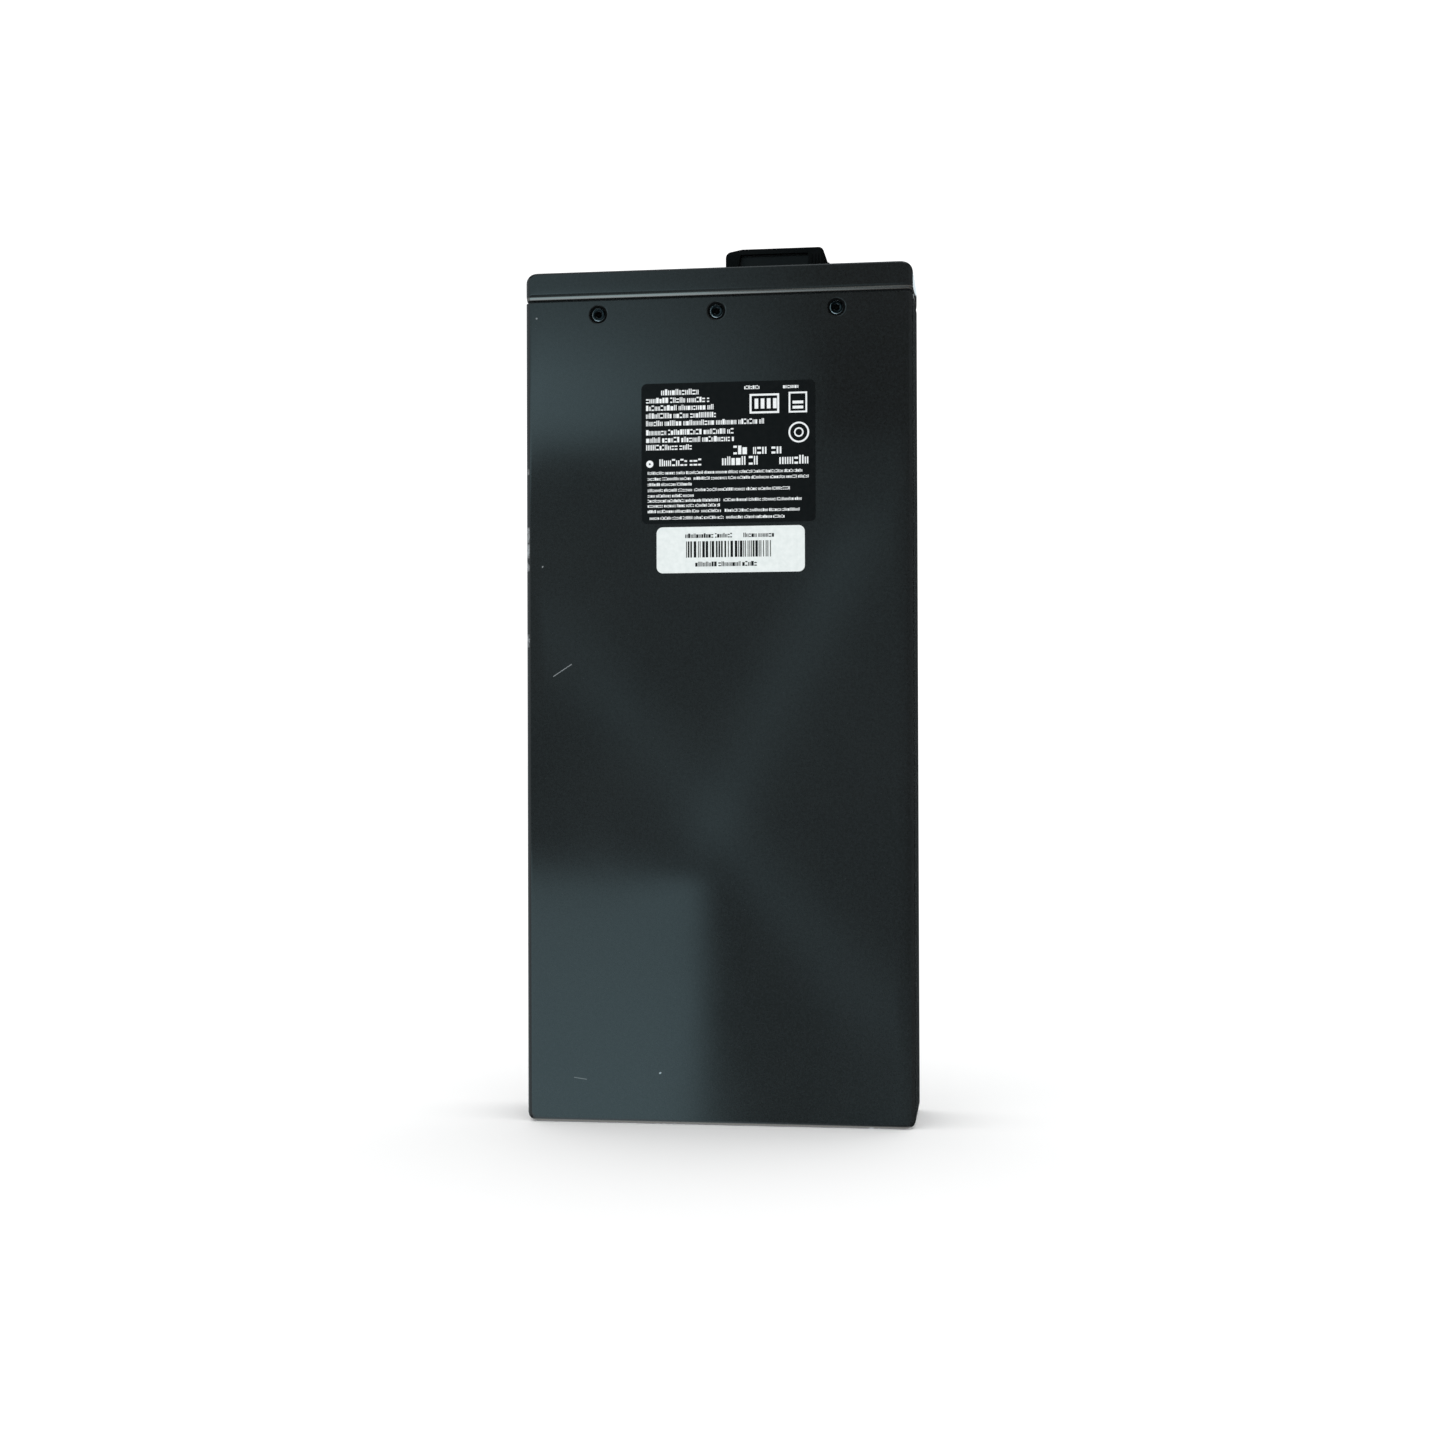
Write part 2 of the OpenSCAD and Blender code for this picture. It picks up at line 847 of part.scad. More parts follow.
module sense_ribbon() {
    x = in_w / 2 - 1.4;
    foot = cell_h + tray_z + tray_t + 6;
    color("#c98a2b") {
        box([x - 0.3, x], [-7, 7], [level_z(0) + cell_h, board_top + 3]);
        for (level = [0, 1])
            box([tray_w / 2, x], [-7, 7], [level_z(level) + foot, level_z(level) + foot + 0.3]);
        box([board_size[0] / 2 - 2, x], [-7, 7], [board_top + 2.7, board_top + 3]);
    }
}

// Beads taped to the side of each stack, with a lead up to the board
module thermistors() {
    color("#1d3f8a")
        for (level = [0, 1])
            translate([bead_x, bead_y[level], level_z(level) + cell_h / 2]) {
                cylinder(h = 8, r = bead_r);
                cylinder(h = board_z - 1 - level_z(level) - cell_h / 2, r = 0.4);
            }
}

// Electronics -------------------------------------------------------------------

module at_board_holes(z) {
    for (x = [-1, 1], y = [-1, 1])
        translate([x * board_holes[0], y * board_holes[1], z])
            children();
}

module board_carrier() {
    color("#30363a")
        difference() {
            union() {
                box([-tray_w / 2, tray_w / 2], [-stack_t / 2, stack_t / 2],
                    [carrier_z, carrier_z + 2]);
                at_board_holes(carrier_z + 1.9)
                    cylinder(h = board_z - carrier_z - 1.9, r = 3);
            }
            at_board_holes(carrier_z + 0.5)
                cylinder(h = 6, r = 1.28);
            box([riser_x[0] - 1, riser_x[1] + 1], [cell_mid(3) - 0.5, cell_mid(3) + 3.5],
                [carrier_z - over, carrier_z + 2 + over]);
            for (y = bead_y)
                translate([bead_x, y, carrier_z - over])
                    cylinder(h = 2 + 2 * over, r = 0.8);
        }
}

module management_board() {
    color("#17482f")
        difference() {
            plate(board_size[0], board_size[1], board_z, board_t, 1.5);
            at_board_holes(board_z - over)
                cylinder(h = board_t + 2 * over, r = 1.35);
        }
}

module board_screws() {
    color("#8f9498")
        at_board_holes(board_top)
            difference() {
                union() {
                    cylinder(h = 1.6, r = 2.3);
                    translate([0, 0, -5.5])
                        cylinder(h = 6, r = 1.25);
                }
                translate([0, 0, 0.8])
                    cylinder(h = 1, r = 1, $fn = 6);
            }
}

// Row of transistors along the rear edge of the board
module power_transistors() {
    color("#1a1c1d")
        for (i = [0:transistor_count - 1])
            translate([transistor_x + i * transistor_pitch, 8, board_top]) {
                box([-5, 5], [-4.5, 4.5], [0, 4.4]);
                box([-3.6, -2.4], [-7, -4.5], [0, 0.8]);
                box([2.4, 3.6], [-7, -4.5], [0, 0.8]);
            }
}

module heat_spreader() {
    first = transistor_x - 6.5;
    last = transistor_x + (transistor_count - 1) * transistor_pitch + 6.5;
    color("#aeb3b7")
        difference() {
            box([first, last], [1.5, 14.5], [board_top + 4.4, board_top + 9]);
            for (i = [0:4])
                box([first - over, last + over], [2.9 + i * 2.4, 4.1 + i * 2.4],
                    [board_top + 6.4, board_top + 9 + over]);
        }
}

module current_shunt() {
    color("#a8927a")
        translate([40, 4, board_top]) {
            box([-8, -5.5], [-3, 3], [0, 3]);
            box([5.5, 8], [-3, 3], [0, 3]);
            box([-8, 8], [-3, 3], [2, 3]);
        }
}

module board_chips() {
    color("#151718")
        for (c = chip_places)
            translate([c[0] - c[2] / 2, c[1] - c[3] / 2, board_top])
                cube([c[2], c[3], c[4]]);
    color("#151718")
        for (i = [0:9])
            translate([-48 + i * 3, -14.5, board_top])
                cube([1.6, 0.8, 0.6]);
}

module sense_header() {
    color("#e9e4d6")
        difference() {
            box([53.5, 60.5], [-8.5, 8.5], [board_top, board_top + 5.5]);
            box([54.5, 59.5], [-7.5, 7.5], [board_top + 2, board_top + 5.5 + over]);
        }
}

module main_fuse() {
    color("#c8cdd0") {
        translate([38, -8, board_top + 3])
            rotate([0, 90, 0])
                cylinder(h = 10, r = 2.6);
        for (x = [36, 46])
            box([x, x + 4], [-11, -5], [board_top, board_top + 6]);
    }
}

// Route of a wire: upright at both ends and a smooth lean between them
function lead_route(a, b, n) = [for (i = [0:n])
    let (f = i / n, g = min(max((i - 1) / (n - 2), 0), 1), s = g * g * (3 - 2 * g))
        [a[0] + (b[0] - a[0]) * s, a[1] + (b[1] - a[1]) * s, a[2] + (b[2] - a[2]) * f]];

module power_lead(x, side) {
    tube_along(lead_route([x, -9, board_top], [conn_x + side * power_x, -0.3, lead_top], 16),
        lead_r, 12);
}

module positive_lead() {
    color("#b0261f")
        power_lead(20, 1);
}

module negative_lead() {
    color("#16181a")
        power_lead(6, -1);
}

// Thin wires: connector to board, and status board to board
module signal_leads() {
    color("#d9d4c8") {
        for (i = [0:3])
            tube_along(lead_route([10 + i * 1.6, -1.3, board_top],
                [conn_x - 1.8 + (i % 2) * 3.6, -4 + floor(i / 2) * 4, cap_top - 16], 14),
                signal_r, 8);
        for (i = [0:2])
            tube_along(lead_route([-12 + i * 1.6, -3.5, board_top],
                [-22 + i * 1.6, -5, status_z], 14), signal_r, 8);
    }
}

// Assembly ------------------------------------------------------------------------

case();
end_cap();
cap_gasket();
case_screws();
rating_label();
barcode_label();
connector_housing();
connector_gasket();
connector_screws();
contact_block();
power_contacts();
signal_contacts();
connector_cover();
cover_seal();
cover_pin();
status_button();
button_spring();
button_switch();
light_pipe();
status_board();
status_leds();
status_board_screws();
vent_plug();
bottom_pad();
cell_1();
cell_2();
cell_3();
cell_4();
cell_5();
cell_6();
cell_7();
cell_8();
aluminium_tabs();
copper_tabs();
foam_pads();
front_insulator();
rear_insulator();
tab_tray_lower();
tab_tray_upper();
bus_bars_lower();
bus_bars_upper();
divider_sheet();
series_link();
pack_negative_link();
pack_positive_link();
sense_ribbon();
thermistors();
board_carrier();
management_board();
board_screws();
power_transistors();
heat_spreader();
current_shunt();
board_chips();
sense_header();
main_fuse();
positive_lead();
negative_lead();
signal_leads();
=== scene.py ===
# %% [markdown]
# # A hard-cased pouch-cell battery pack
# The pack is a drawn aluminium can, painted dark grey, with a painted end cap screwed onto it, two
# printed labels, a covered power connector and a stack of pouch cells inside. The mechanical design
# is already packed as a fixed frame, so this lesson only gives it looks. Everything is in metres, in
# the frame of the design: the origin is the middle of the base, +Z points at the cap and the labels
# face -Y.

# %% Load the frame
import json
import math

import bmesh
import bpy
import numpy as np
from mathutils import Matrix, Vector
from mathutils.geometry import tessellate_polygon

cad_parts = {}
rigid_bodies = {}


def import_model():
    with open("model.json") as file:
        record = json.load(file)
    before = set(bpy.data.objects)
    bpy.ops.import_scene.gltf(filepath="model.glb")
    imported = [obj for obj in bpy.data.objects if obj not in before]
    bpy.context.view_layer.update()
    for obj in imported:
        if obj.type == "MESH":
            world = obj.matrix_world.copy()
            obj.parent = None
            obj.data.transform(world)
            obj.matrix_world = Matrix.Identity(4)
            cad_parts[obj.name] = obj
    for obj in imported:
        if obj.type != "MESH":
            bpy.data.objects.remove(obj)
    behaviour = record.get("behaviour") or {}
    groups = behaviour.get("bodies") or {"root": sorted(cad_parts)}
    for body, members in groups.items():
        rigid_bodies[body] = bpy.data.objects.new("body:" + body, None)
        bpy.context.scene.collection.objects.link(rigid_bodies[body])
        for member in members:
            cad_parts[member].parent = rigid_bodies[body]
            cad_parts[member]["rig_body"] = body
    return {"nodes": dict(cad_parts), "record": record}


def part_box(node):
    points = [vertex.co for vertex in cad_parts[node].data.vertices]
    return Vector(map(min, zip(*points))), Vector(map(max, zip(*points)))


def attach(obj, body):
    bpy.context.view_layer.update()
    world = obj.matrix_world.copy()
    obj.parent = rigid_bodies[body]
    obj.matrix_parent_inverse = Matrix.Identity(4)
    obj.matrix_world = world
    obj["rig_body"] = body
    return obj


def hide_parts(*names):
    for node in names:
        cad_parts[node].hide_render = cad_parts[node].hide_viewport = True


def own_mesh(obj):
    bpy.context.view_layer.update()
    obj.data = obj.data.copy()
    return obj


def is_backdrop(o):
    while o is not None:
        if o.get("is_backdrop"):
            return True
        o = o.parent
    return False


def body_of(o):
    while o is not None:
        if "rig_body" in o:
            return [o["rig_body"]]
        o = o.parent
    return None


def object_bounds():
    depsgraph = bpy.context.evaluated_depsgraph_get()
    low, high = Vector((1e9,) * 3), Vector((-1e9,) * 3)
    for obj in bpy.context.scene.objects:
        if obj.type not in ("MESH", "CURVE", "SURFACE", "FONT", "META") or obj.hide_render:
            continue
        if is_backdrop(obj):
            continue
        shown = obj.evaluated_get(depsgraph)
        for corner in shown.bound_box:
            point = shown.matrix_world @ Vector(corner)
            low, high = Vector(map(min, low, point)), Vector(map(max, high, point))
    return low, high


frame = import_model()
cad_box = [list(corner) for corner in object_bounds()]
record = frame["record"]
mm = 0.001


def box_mm(node_name):
    """The low and the high corner of a design part's box, in millimetres."""
    return [np.array(corner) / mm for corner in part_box(node_name)]


print("nodes:", len(frame["nodes"]), "box in mm:", [[round(c / mm, 2) for c in p] for p in cad_box])

# %% [markdown]
# ## Tools for shapes
# Most new pieces are grids: a function of two parameters gives one point per grid crossing, and the
# grid is closed by wrapping a side onto its opposite side or by drawing a fan to a pole. The points
# are computed as whole arrays, in millimetres, and go into the mesh in one step.

# %% Grids into meshes
def grid_faces(rows, columns, wrap_rows=False, wrap_columns=True, start=0):
    """Four corner numbers for every cell of a grid whose points are stored row after row."""
    r = np.arange(rows if wrap_rows else rows - 1)
    c = np.arange(columns if wrap_columns else columns - 1)
    r, c = (a.ravel() for a in np.meshgrid(r, c, indexing="ij"))
    r2, c2 = (r + 1) % rows, (c + 1) % columns
    return np.stack([r * columns + c, r * columns + c2, r2 * columns + c2, r2 * columns + c], 1) + start


def closed_faces(rows, columns, start=0):
    """Cells of a grid that wraps round, and a fan to a pole at each end; the two poles come last."""
    ring = np.arange(columns)
    after = (ring + 1) % columns
    last, pole = start + (rows - 1) * columns, start + rows * columns
    low_fan = np.stack([start + after, start + ring, np.full(columns, pole)], 1)
    high_fan = np.stack([last + ring, last + after, np.full(columns, pole + 1)], 1)
    return [*grid_faces(rows, columns, start=start), *low_fan, *high_fan]


def boxes(lows, highs, start=0):
    """Points and outward faces of one box for each pair of a low and a high corner."""
    ends = np.stack([np.asarray(lows, float), np.asarray(highs, float)])
    which = np.array([[i, j, k] for k in (0, 1) for j in (0, 1) for i in (0, 1)])
    points = np.stack([ends[which[:, axis], :, axis] for axis in range(3)], -1)
    one = np.array([[0, 2, 3, 1], [4, 5, 7, 6], [0, 1, 5, 4], [2, 6, 7, 3], [0, 4, 6, 2], [1, 3, 7, 5]])
    faces = one + 8 * np.arange(ends.shape[1])[:, None, None] + start
    return points.transpose(1, 0, 2).reshape(-1, 3), faces.reshape(-1, 4)


def make_piece(name, points, faces, body="pack", stands_for=(), smooth=True):
    """A mesh object from points in millimetres and a list of faces, riding on a body."""
    mesh = bpy.data.meshes.new(name)
    mesh.from_pydata((np.asarray(points, float) * mm).tolist(), [], [list(map(int, f)) for f in faces])
    mesh.validate()
    mesh.polygons.foreach_set("use_smooth", np.full(len(mesh.polygons), smooth))
    mesh.update()
    piece = bpy.data.objects.new(name, mesh)
    bpy.context.scene.collection.objects.link(piece)
    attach(piece, body)
    if stands_for:
        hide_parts(*stands_for)
    return piece


def outward(piece):
    """Turns every face of a closed piece to the outside."""
    work = bmesh.new()
    work.from_mesh(piece.data)
    bmesh.ops.remove_doubles(work, verts=work.verts, dist=0.2e-6)
    bmesh.ops.recalc_face_normals(work, faces=work.faces)
    work.to_mesh(piece.data)
    work.free()
    return piece


def sharp_edges(piece, degrees=32):
    """Keeps creases above an angle crisp while the rest shades smoothly."""
    piece.data.set_sharp_from_angle(angle=math.radians(degrees))
    return piece

# %% [markdown]
# ## Tools for finishes
# Each finish is a tree of shader nodes. One small function adds a node with its settings and its
# links, and one turns the hex colours that a paint chart gives into the linear numbers that the
# renderer works with. Patterns read the object's own coordinates in metres, so a pattern of a given
# size in millimetres gets the scale 1 / size.

# %% Colours and nodes
def linear(hex_colour):
    """An sRGB hex colour as linear red, green, blue and alpha."""
    parts = [int(hex_colour.lstrip("#")[i:i + 2], 16) / 255 for i in (0, 2, 4)]
    return tuple(c / 12.92 if c <= 0.04045 else ((c + 0.055) / 1.055) ** 2.4 for c in parts) + (1.0,)


def plug(tree, target, inputs):
    """Sets inputs of a node, by number or name, to values or to other nodes' outputs."""
    for key, value in inputs.items():
        if isinstance(value, bpy.types.NodeSocket):
            tree.links.new(value, target.inputs[key])
        else:
            target.inputs[key].default_value = value


def node(tree, kind, inputs=None, **settings):
    """Adds a node: settings are its own properties, inputs are values or other nodes' outputs."""
    made = tree.nodes.new("ShaderNode" + kind)
    for name, value in settings.items():
        setattr(made, name, value)
    plug(tree, made, inputs or {})
    return made


def blend_colour(tree, share, a, b, way="MIX"):
    """Colour a where share is 0 and colour b where it is 1."""
    return node(tree, "Mix", {0: share, 6: a, 7: b}, data_type="RGBA", blend_type=way).outputs[2]


def between(tree, value, low, high, to_low=0.0, to_high=1.0):
    """Stretches the part of a value from low to high over a new range, and clamps the rest."""
    return node(tree, "MapRange", {0: value, 1: low, 2: high, 3: to_low, 4: to_high}).outputs[0]


def product(tree, *values):
    """Several values multiplied together."""
    result = values[0]
    for value in values[1:]:
        result = node(tree, "Math", {0: result, 1: value}, operation="MULTIPLY").outputs[0]
    return result


def start_finish(name):
    """A new material: its tree, its main shader and the object's own coordinates."""
    made = bpy.data.materials.new(name)
    made.use_nodes = True
    tree = made.node_tree
    shader = tree.nodes["Principled BSDF"]
    place = node(tree, "TexCoord").outputs["Object"]
    return made, tree, shader, place


def size(millimetres):
    """Scale of a pattern whose cells are that many millimetres across."""
    return 1 / (millimetres * mm)

# %% [markdown]
# ## Satin paint on the can and the cap
# The can is deep-drawn aluminium with a charcoal paint that is baked on. Such paint is satin: it has
# the fine waviness called orange peel, about one wave per millimetre, and reflects its surroundings
# as a broad soft sheen. Where a corner has rubbed against a rack the paint is gone and bare
# aluminium shows. The worn places on the left edge are set by height, and a noise breaks them up. The
# bright lines on the cap's rolled lip and on the can's base edge are painted highlights: bands of
# pale metallic colour laid along those edges, so the line shows from every side.

# %% Painted aluminium
def stroke(tree, place, start, end, half_width):
    """1 on a straight stroke between two points in millimetres, falling to 0 at its half width."""
    start, end = np.array(start) * mm, np.array(end) * mm
    along = end - start
    length = max(float(np.linalg.norm(along)), 1e-6)
    from_start = node(tree, "VectorMath", {0: place, 1: start}, operation="SUBTRACT").outputs[0]
    reach = node(tree, "VectorMath", {0: from_start, 1: along / length ** 2}, operation="DOT_PRODUCT")
    share = between(tree, reach.outputs["Value"], 0.0, 1.0)
    nearest = node(tree, "VectorMath", {0: along, "Scale": share}, operation="SCALE").outputs[0]
    away = node(tree, "VectorMath", {0: from_start, 1: nearest}, operation="DISTANCE").outputs["Value"]
    return between(tree, away, 0.5 * half_width * mm, half_width * mm, 1.0, 0.0)


WEAR_X, WEAR_Y = (-0.0689, -0.0685), (-0.0180, -0.0172)
WEAR_SOFT, RAMP_TOP = 0.0004, 0.32
HIGHLIGHT_FADE_LOW, HIGHLIGHT_FADE_HIGH = 0.0003, 0.0004


def painted_aluminium(name, worn_heights, strokes, lip, roughness=0.10):
    """Charcoal baked paint over aluminium: rubbed bare on the left edge, scratched, with a painted highlight
    band.
    """
    made, tree, shader, place = start_finish(name)
    x, y, z = node(tree, "SeparateXYZ", {0: place}).outputs
    cloud = node(tree, "TexNoise", {"Vector": place, "Scale": size(60), "Detail": 3.0}).outputs[0]
    grain = node(tree, "TexNoise", {"Vector": place, "Scale": size(0.9), "Detail": 2.0}).outputs[0]
    speck = node(tree, "TexNoise", {"Vector": place, "Scale": size(5), "Detail": 6.0,
                                    "Roughness": 0.7}).outputs[0]
    paint = blend_colour(tree, between(tree, cloud, 0.35, 0.65), linear("#181A1A"), linear("#1B1D1D"))
    paint = blend_colour(tree, between(tree, grain, 0.3, 0.7, 0.0, 0.35), paint, linear("#262B2D"))
    corner = product(tree, between(tree, x, *WEAR_X, 1.0, 0.0), between(tree, y, *WEAR_Y, 1.0, 0.0))
    bands = node(tree, "ValToRGB", {0: product(tree, z, 1 / RAMP_TOP)})
    ramp = bands.color_ramp
    for stop in ramp.elements:
        stop.color = (0, 0, 0, 1)
    for low, high in worn_heights:
        for height, amount in ((low - WEAR_SOFT, 0), (low, 1), (high, 1), (high + WEAR_SOFT, 0)):
            ramp.elements.new(height / RAMP_TOP).color = (amount,) * 3 + (1,)
    bare = product(tree, corner, bands.outputs[0], between(tree, speck, 0.40, 0.55))
    for start, end, half_width, amount in strokes:
        mark = product(tree, stroke(tree, place, start, end, half_width), amount)
        bare = node(tree, "Math", {0: bare, 1: mark}, operation="MAXIMUM").outputs[0]
    # The band between the two lip heights is a painted highlight: a pale metallic colour (#827F7B) laid along
    # the edge.
    low, high = (height * mm for height in lip)
    highlight_band = product(tree, between(tree, z, low, low + HIGHLIGHT_FADE_LOW),
                   between(tree, z, high - HIGHLIGHT_FADE_HIGH, high, 1.0, 0.0))
    paint = blend_colour(tree, highlight_band, paint, linear("#827F7B"))
    wear_and_highlight_metal = node(tree, "Math", {0: bare, 1: highlight_band}, operation="MAXIMUM").outputs[0]
    bump = node(tree, "Bump", {"Height": grain, "Strength": 0.5, "Distance": 0.0000025})
    plug(tree, shader, {"Base Color": blend_colour(tree, bare, paint, linear("#C9CCCE")),
                        "Metallic": product(tree, wear_and_highlight_metal, 0.9), "IOR": 1.5,
                        "Roughness": between(tree, cloud, 0.3, 0.7, roughness - 0.03, roughness + 0.03),
                        "Normal": bump.outputs[0]})
    return made


# Worn stretches of the left edge, from and to a height in metres.
WORN = [(0.1722, 0.1757), (0.1999, 0.2138), (0.2345, 0.2358)]
# Scratches and chips in millimetres: start, end, half width, and how much of the paint is gone.
STROKES = [((-59.8, -20, 160.8), (-53.2, -20, 165.1), 0.18, 0.62),
           ((-52.5, -20, 16.2), (-48.1, -20, 15.6), 0.2, 0.2),
           ((-21.3, -20, 18.3), (-21.0, -20, 18.4), 0.38, 0.55),
           ((-63.8, -20, 200.3), (-63.7, -20, 200.6), 0.3, 0.6),
           ((-65.8, -20, 290.5), (-65.7, -20, 290.5), 0.4, 0.35),
           ((-69.4, -19.4, 1.6), (-69.0, -19.6, 1.2), 0.6, 0.9),
           ((54.0, -19.2, 0.2), (54.8, -19.2, 0.3), 0.5, 0.9),
           ((57.0, -19.2, 0.2), (57.2, -19.2, 0.2), 0.35, 0.7)]
SEAM = 0.5
cap_z = box_mm("case")[1][2] + SEAM
# The last pair of heights is the painted highlight band: the can's base edge and the cap's lip.
can_paint = painted_aluminium("baked_paint_with_painted_highlight_on_drawn_can", WORN, STROKES, (0.1, 1.15))
cap_paint = painted_aluminium("baked_paint_with_painted_highlight_on_cast_cap", [], [], (cap_z + 0.45, cap_z + 1.65))
print("paint finishes:", can_paint.name, cap_paint.name)

# %% [markdown]
# ## The can and the cap as carried outlines
# Both are boxes with round corners. The outline is a core rectangle plus a round corner: each point
# of it is kept as a place on the core rectangle (from -1 to 1) and a direction. So one array of
# places and directions gives the outline at any height, with any width, depth and corner radius,
# and a list of heights carried up the wall gives the whole surface.

# %% Outline of a rounded box
EDGE_STEPS = 8


def outline_marks(x_marks, y_marks):
    """Places on the core rectangle and outward directions, once round: front, right, back, left."""
    places, directions = [], []
    quarter = np.linspace(0, math.pi / 2, EDGE_STEPS + 1)
    runs = [(x_marks, -1, 0, -math.pi / 2), (y_marks, 1, 1, 0.0),
            (x_marks[::-1], 1, 0, math.pi / 2), (y_marks[::-1], -1, 1, math.pi)]
    for marks, side, along, facing in runs:
        marks = np.asarray(marks, float)
        place = np.zeros((len(marks), 2))
        place[:, along] = marks
        place[:, 1 - along] = side
        places.append(place)
        directions.append(np.tile([math.cos(facing), math.sin(facing)], (len(marks), 1)))
        turn = facing + quarter[1:-1]
        places.append(np.tile(place[-1], (len(turn), 1)))
        directions.append(np.stack([np.cos(turn), np.sin(turn)], 1))
    return np.vstack(places), np.vstack(directions)


def carried_outline(marks, levels):
    """One ring per level (z, half width, half depth, corner radius): core place plus radius."""
    places, directions = marks
    z, half_x, half_y, radius = np.asarray(levels, float).T[:, :, None]
    x = places[:, 0] * (half_x - radius) + directions[:, 0] * radius
    y = places[:, 1] * (half_y - radius) + directions[:, 1] * radius
    return np.stack([x, y, np.broadcast_to(z, x.shape)], -1)


def round_inset(depth, radius):
    """How far a round edge stands back at a depth below its start."""
    left = np.clip(radius - depth, 0, radius)
    return radius - np.sqrt(radius ** 2 - left ** 2)

# %% [markdown]
# ## Countersunk seats
# Three screws on each big face sit in countersinks. Rather than cutting them, the grid lines near a
# screw are bent from squares into circles, and the circles inside the countersink are pushed in. A
# square ring of the grid at distance d becomes a circle of radius d, so the crease of the
# countersink falls exactly on grid lines and stays sharp.

# %% Bend squares to circles
SINK_RINGS = np.array([0.9, 1.7, 2.3, 2.9, 3.12, 3.24, 3.36, 3.7, 4.3])
SEAT_R, STEP_R, ROUND_R = 3.24, 3.36, 3.7
SEAT_DEPTH, STEP_DEPTH = 1.4, 0.06
PATCH = 4.7


def bend_to_circles(points, centre, side):
    """Inside a square patch, moves a point at square distance d to distance d from the centre."""
    dx, dz = points[..., 0] - centre[0], points[..., 2] - centre[1]
    square = np.maximum(np.abs(dx), np.abs(dz))
    true = np.hypot(dx, dz)
    inside = (square < PATCH) & (square > 1e-9) & (np.abs(points[..., 1] - side) < 1e-6)
    share = np.clip((PATCH - square) / (PATCH - ROUND_R), 0, 1)
    factor = np.where(inside, 1 + share * (square / np.maximum(true, 1e-9) - 1), 1)
    points[..., 0] = centre[0] + dx * factor
    points[..., 2] = centre[1] + dz * factor
    radius = np.where(inside, square, 99)
    step = STEP_DEPTH * np.clip((STEP_R - radius) / (STEP_R - SEAT_R), 0, 1)
    depth = np.clip(SEAT_R - radius, 0, SEAT_DEPTH) + step
    points[..., 1] -= np.sign(side) * np.where(inside, depth, 0)
    return points


half_w, half_t, rim = box_mm("case")[1]
screw_z = sum(corner[2] for corner in box_mm("case_screws")) / 2
screw_x = [-43.0, 0.0, 43.0]
print("can", [round(c, 2) for c in (half_w, half_t, rim)], "screws at height", round(screw_z, 2))

# %% The can
EDGE_R, CORNER_R, BASE_R, WALL, FLOOR = 2.5, 3.4, 1.6, 1.5, 2.0
core = half_w - EDGE_R
ring_steps = np.concatenate([-SINK_RINGS[::-1], [0], SINK_RINGS])
x_lines = np.concatenate([c + ring_steps for c in screw_x] + [np.linspace(-core, core, 29)])
near_screw = np.min(np.abs(x_lines[:, None] - np.array(screw_x)), 1)
keep = np.isin(np.arange(len(x_lines)), np.arange(3 * len(ring_steps))) | (near_screw > PATCH + 0.6)
x_lines = np.unique(np.round(x_lines[keep], 4))
can_marks = outline_marks(x_lines / core, np.linspace(-1, 1, 9))

turn = np.linspace(0, math.pi / 2, 11)
low_z = np.concatenate([radius * (1 - np.cos(turn)) for radius in (CORNER_R, BASE_R)])
low_z = np.unique(np.round(low_z, 4))
levels = []
for z in low_z:
    back_x, back_y = round_inset(z, CORNER_R), round_inset(z, BASE_R)
    levels.append((z, half_w - back_x, half_t - back_y, EDGE_R - 0.9 * min(back_x, back_y)))
wall_z = np.concatenate([np.linspace(5, 284, 94), screw_z + ring_steps])
wall_z = wall_z[wall_z < rim - 0.3]
levels += [(z, half_w, half_t, EDGE_R) for z in wall_z]
RIM_ROUND, RIM_CHAMFER = 0.2, 0.15
for a in np.linspace(0, math.pi / 2, 4):
    back, rise = RIM_ROUND * (1 - math.cos(a)), RIM_ROUND * math.sin(a)
    levels.append((rim - RIM_ROUND + rise, half_w - back, half_t - back, EDGE_R - back))
inner = np.array([half_w, half_t, EDGE_R]) - WALL
levels += [(rim, *(inner + RIM_CHAMFER)), (rim - RIM_CHAMFER, *inner)]
levels += [(z, *inner) for z in (200, 100, FLOOR)]
shell = carried_outline(can_marks, levels)
for x in screw_x:
    for side in (-half_t, half_t):
        shell = bend_to_circles(shell, (x, screw_z), side)
points = np.vstack([shell.reshape(-1, 3), [[0, 0, 0], [0, 0, FLOOR]]])
can = make_piece("can_shell", points, closed_faces(*shell.shape[:2]), stands_for=["case"])
sharp_edges(can, 30)
can.data.materials.append(can_paint)
print("can_shell faces:", len(can.data.polygons))

# %% [markdown]
# ## The end cap
# The cap's section goes all the way round: up the outside of the skirt, out under the lip, round the
# rolled lip, up the wall and over the top edge, and back along the inside to the skirt. The top plate
# is flat, so its two sides are filled with triangles round the holes: a rectangle for the connector
# and circles for the button, the vent and the four light guides. Screw bosses and the two posts of
# the status board are turned profiles joined into the same piece.

# %% The cap
LIP_IN, LIP_HIGH, TOP_R, CAP_WALL, PLATE, SKIRT_WALL = 1.7, 2.8, 1.0, 2.5, 2.5, 2.0
SKIRT_IN, SKIRT_LONG, LEDGE, CAP_HIGH = 1.7, 12.7, 2.3, 10.8
cap_top = rim + CAP_HIGH
skirt = (half_w - SKIRT_IN, half_t - SKIRT_IN)
CUT_X, CUT_Y = (4.0, 36.4), (-10.4, 14.4)
ROUND_HOLES = [(-18.0, 0.0, 5.0), (-61.0, 0.0, 3.0)] + [(-30.0 - 7 * i, 0.0, 1.5) for i in range(4)]
cap_marks = outline_marks(np.linspace(-1, 1, 57), np.linspace(-1, 1, 17))


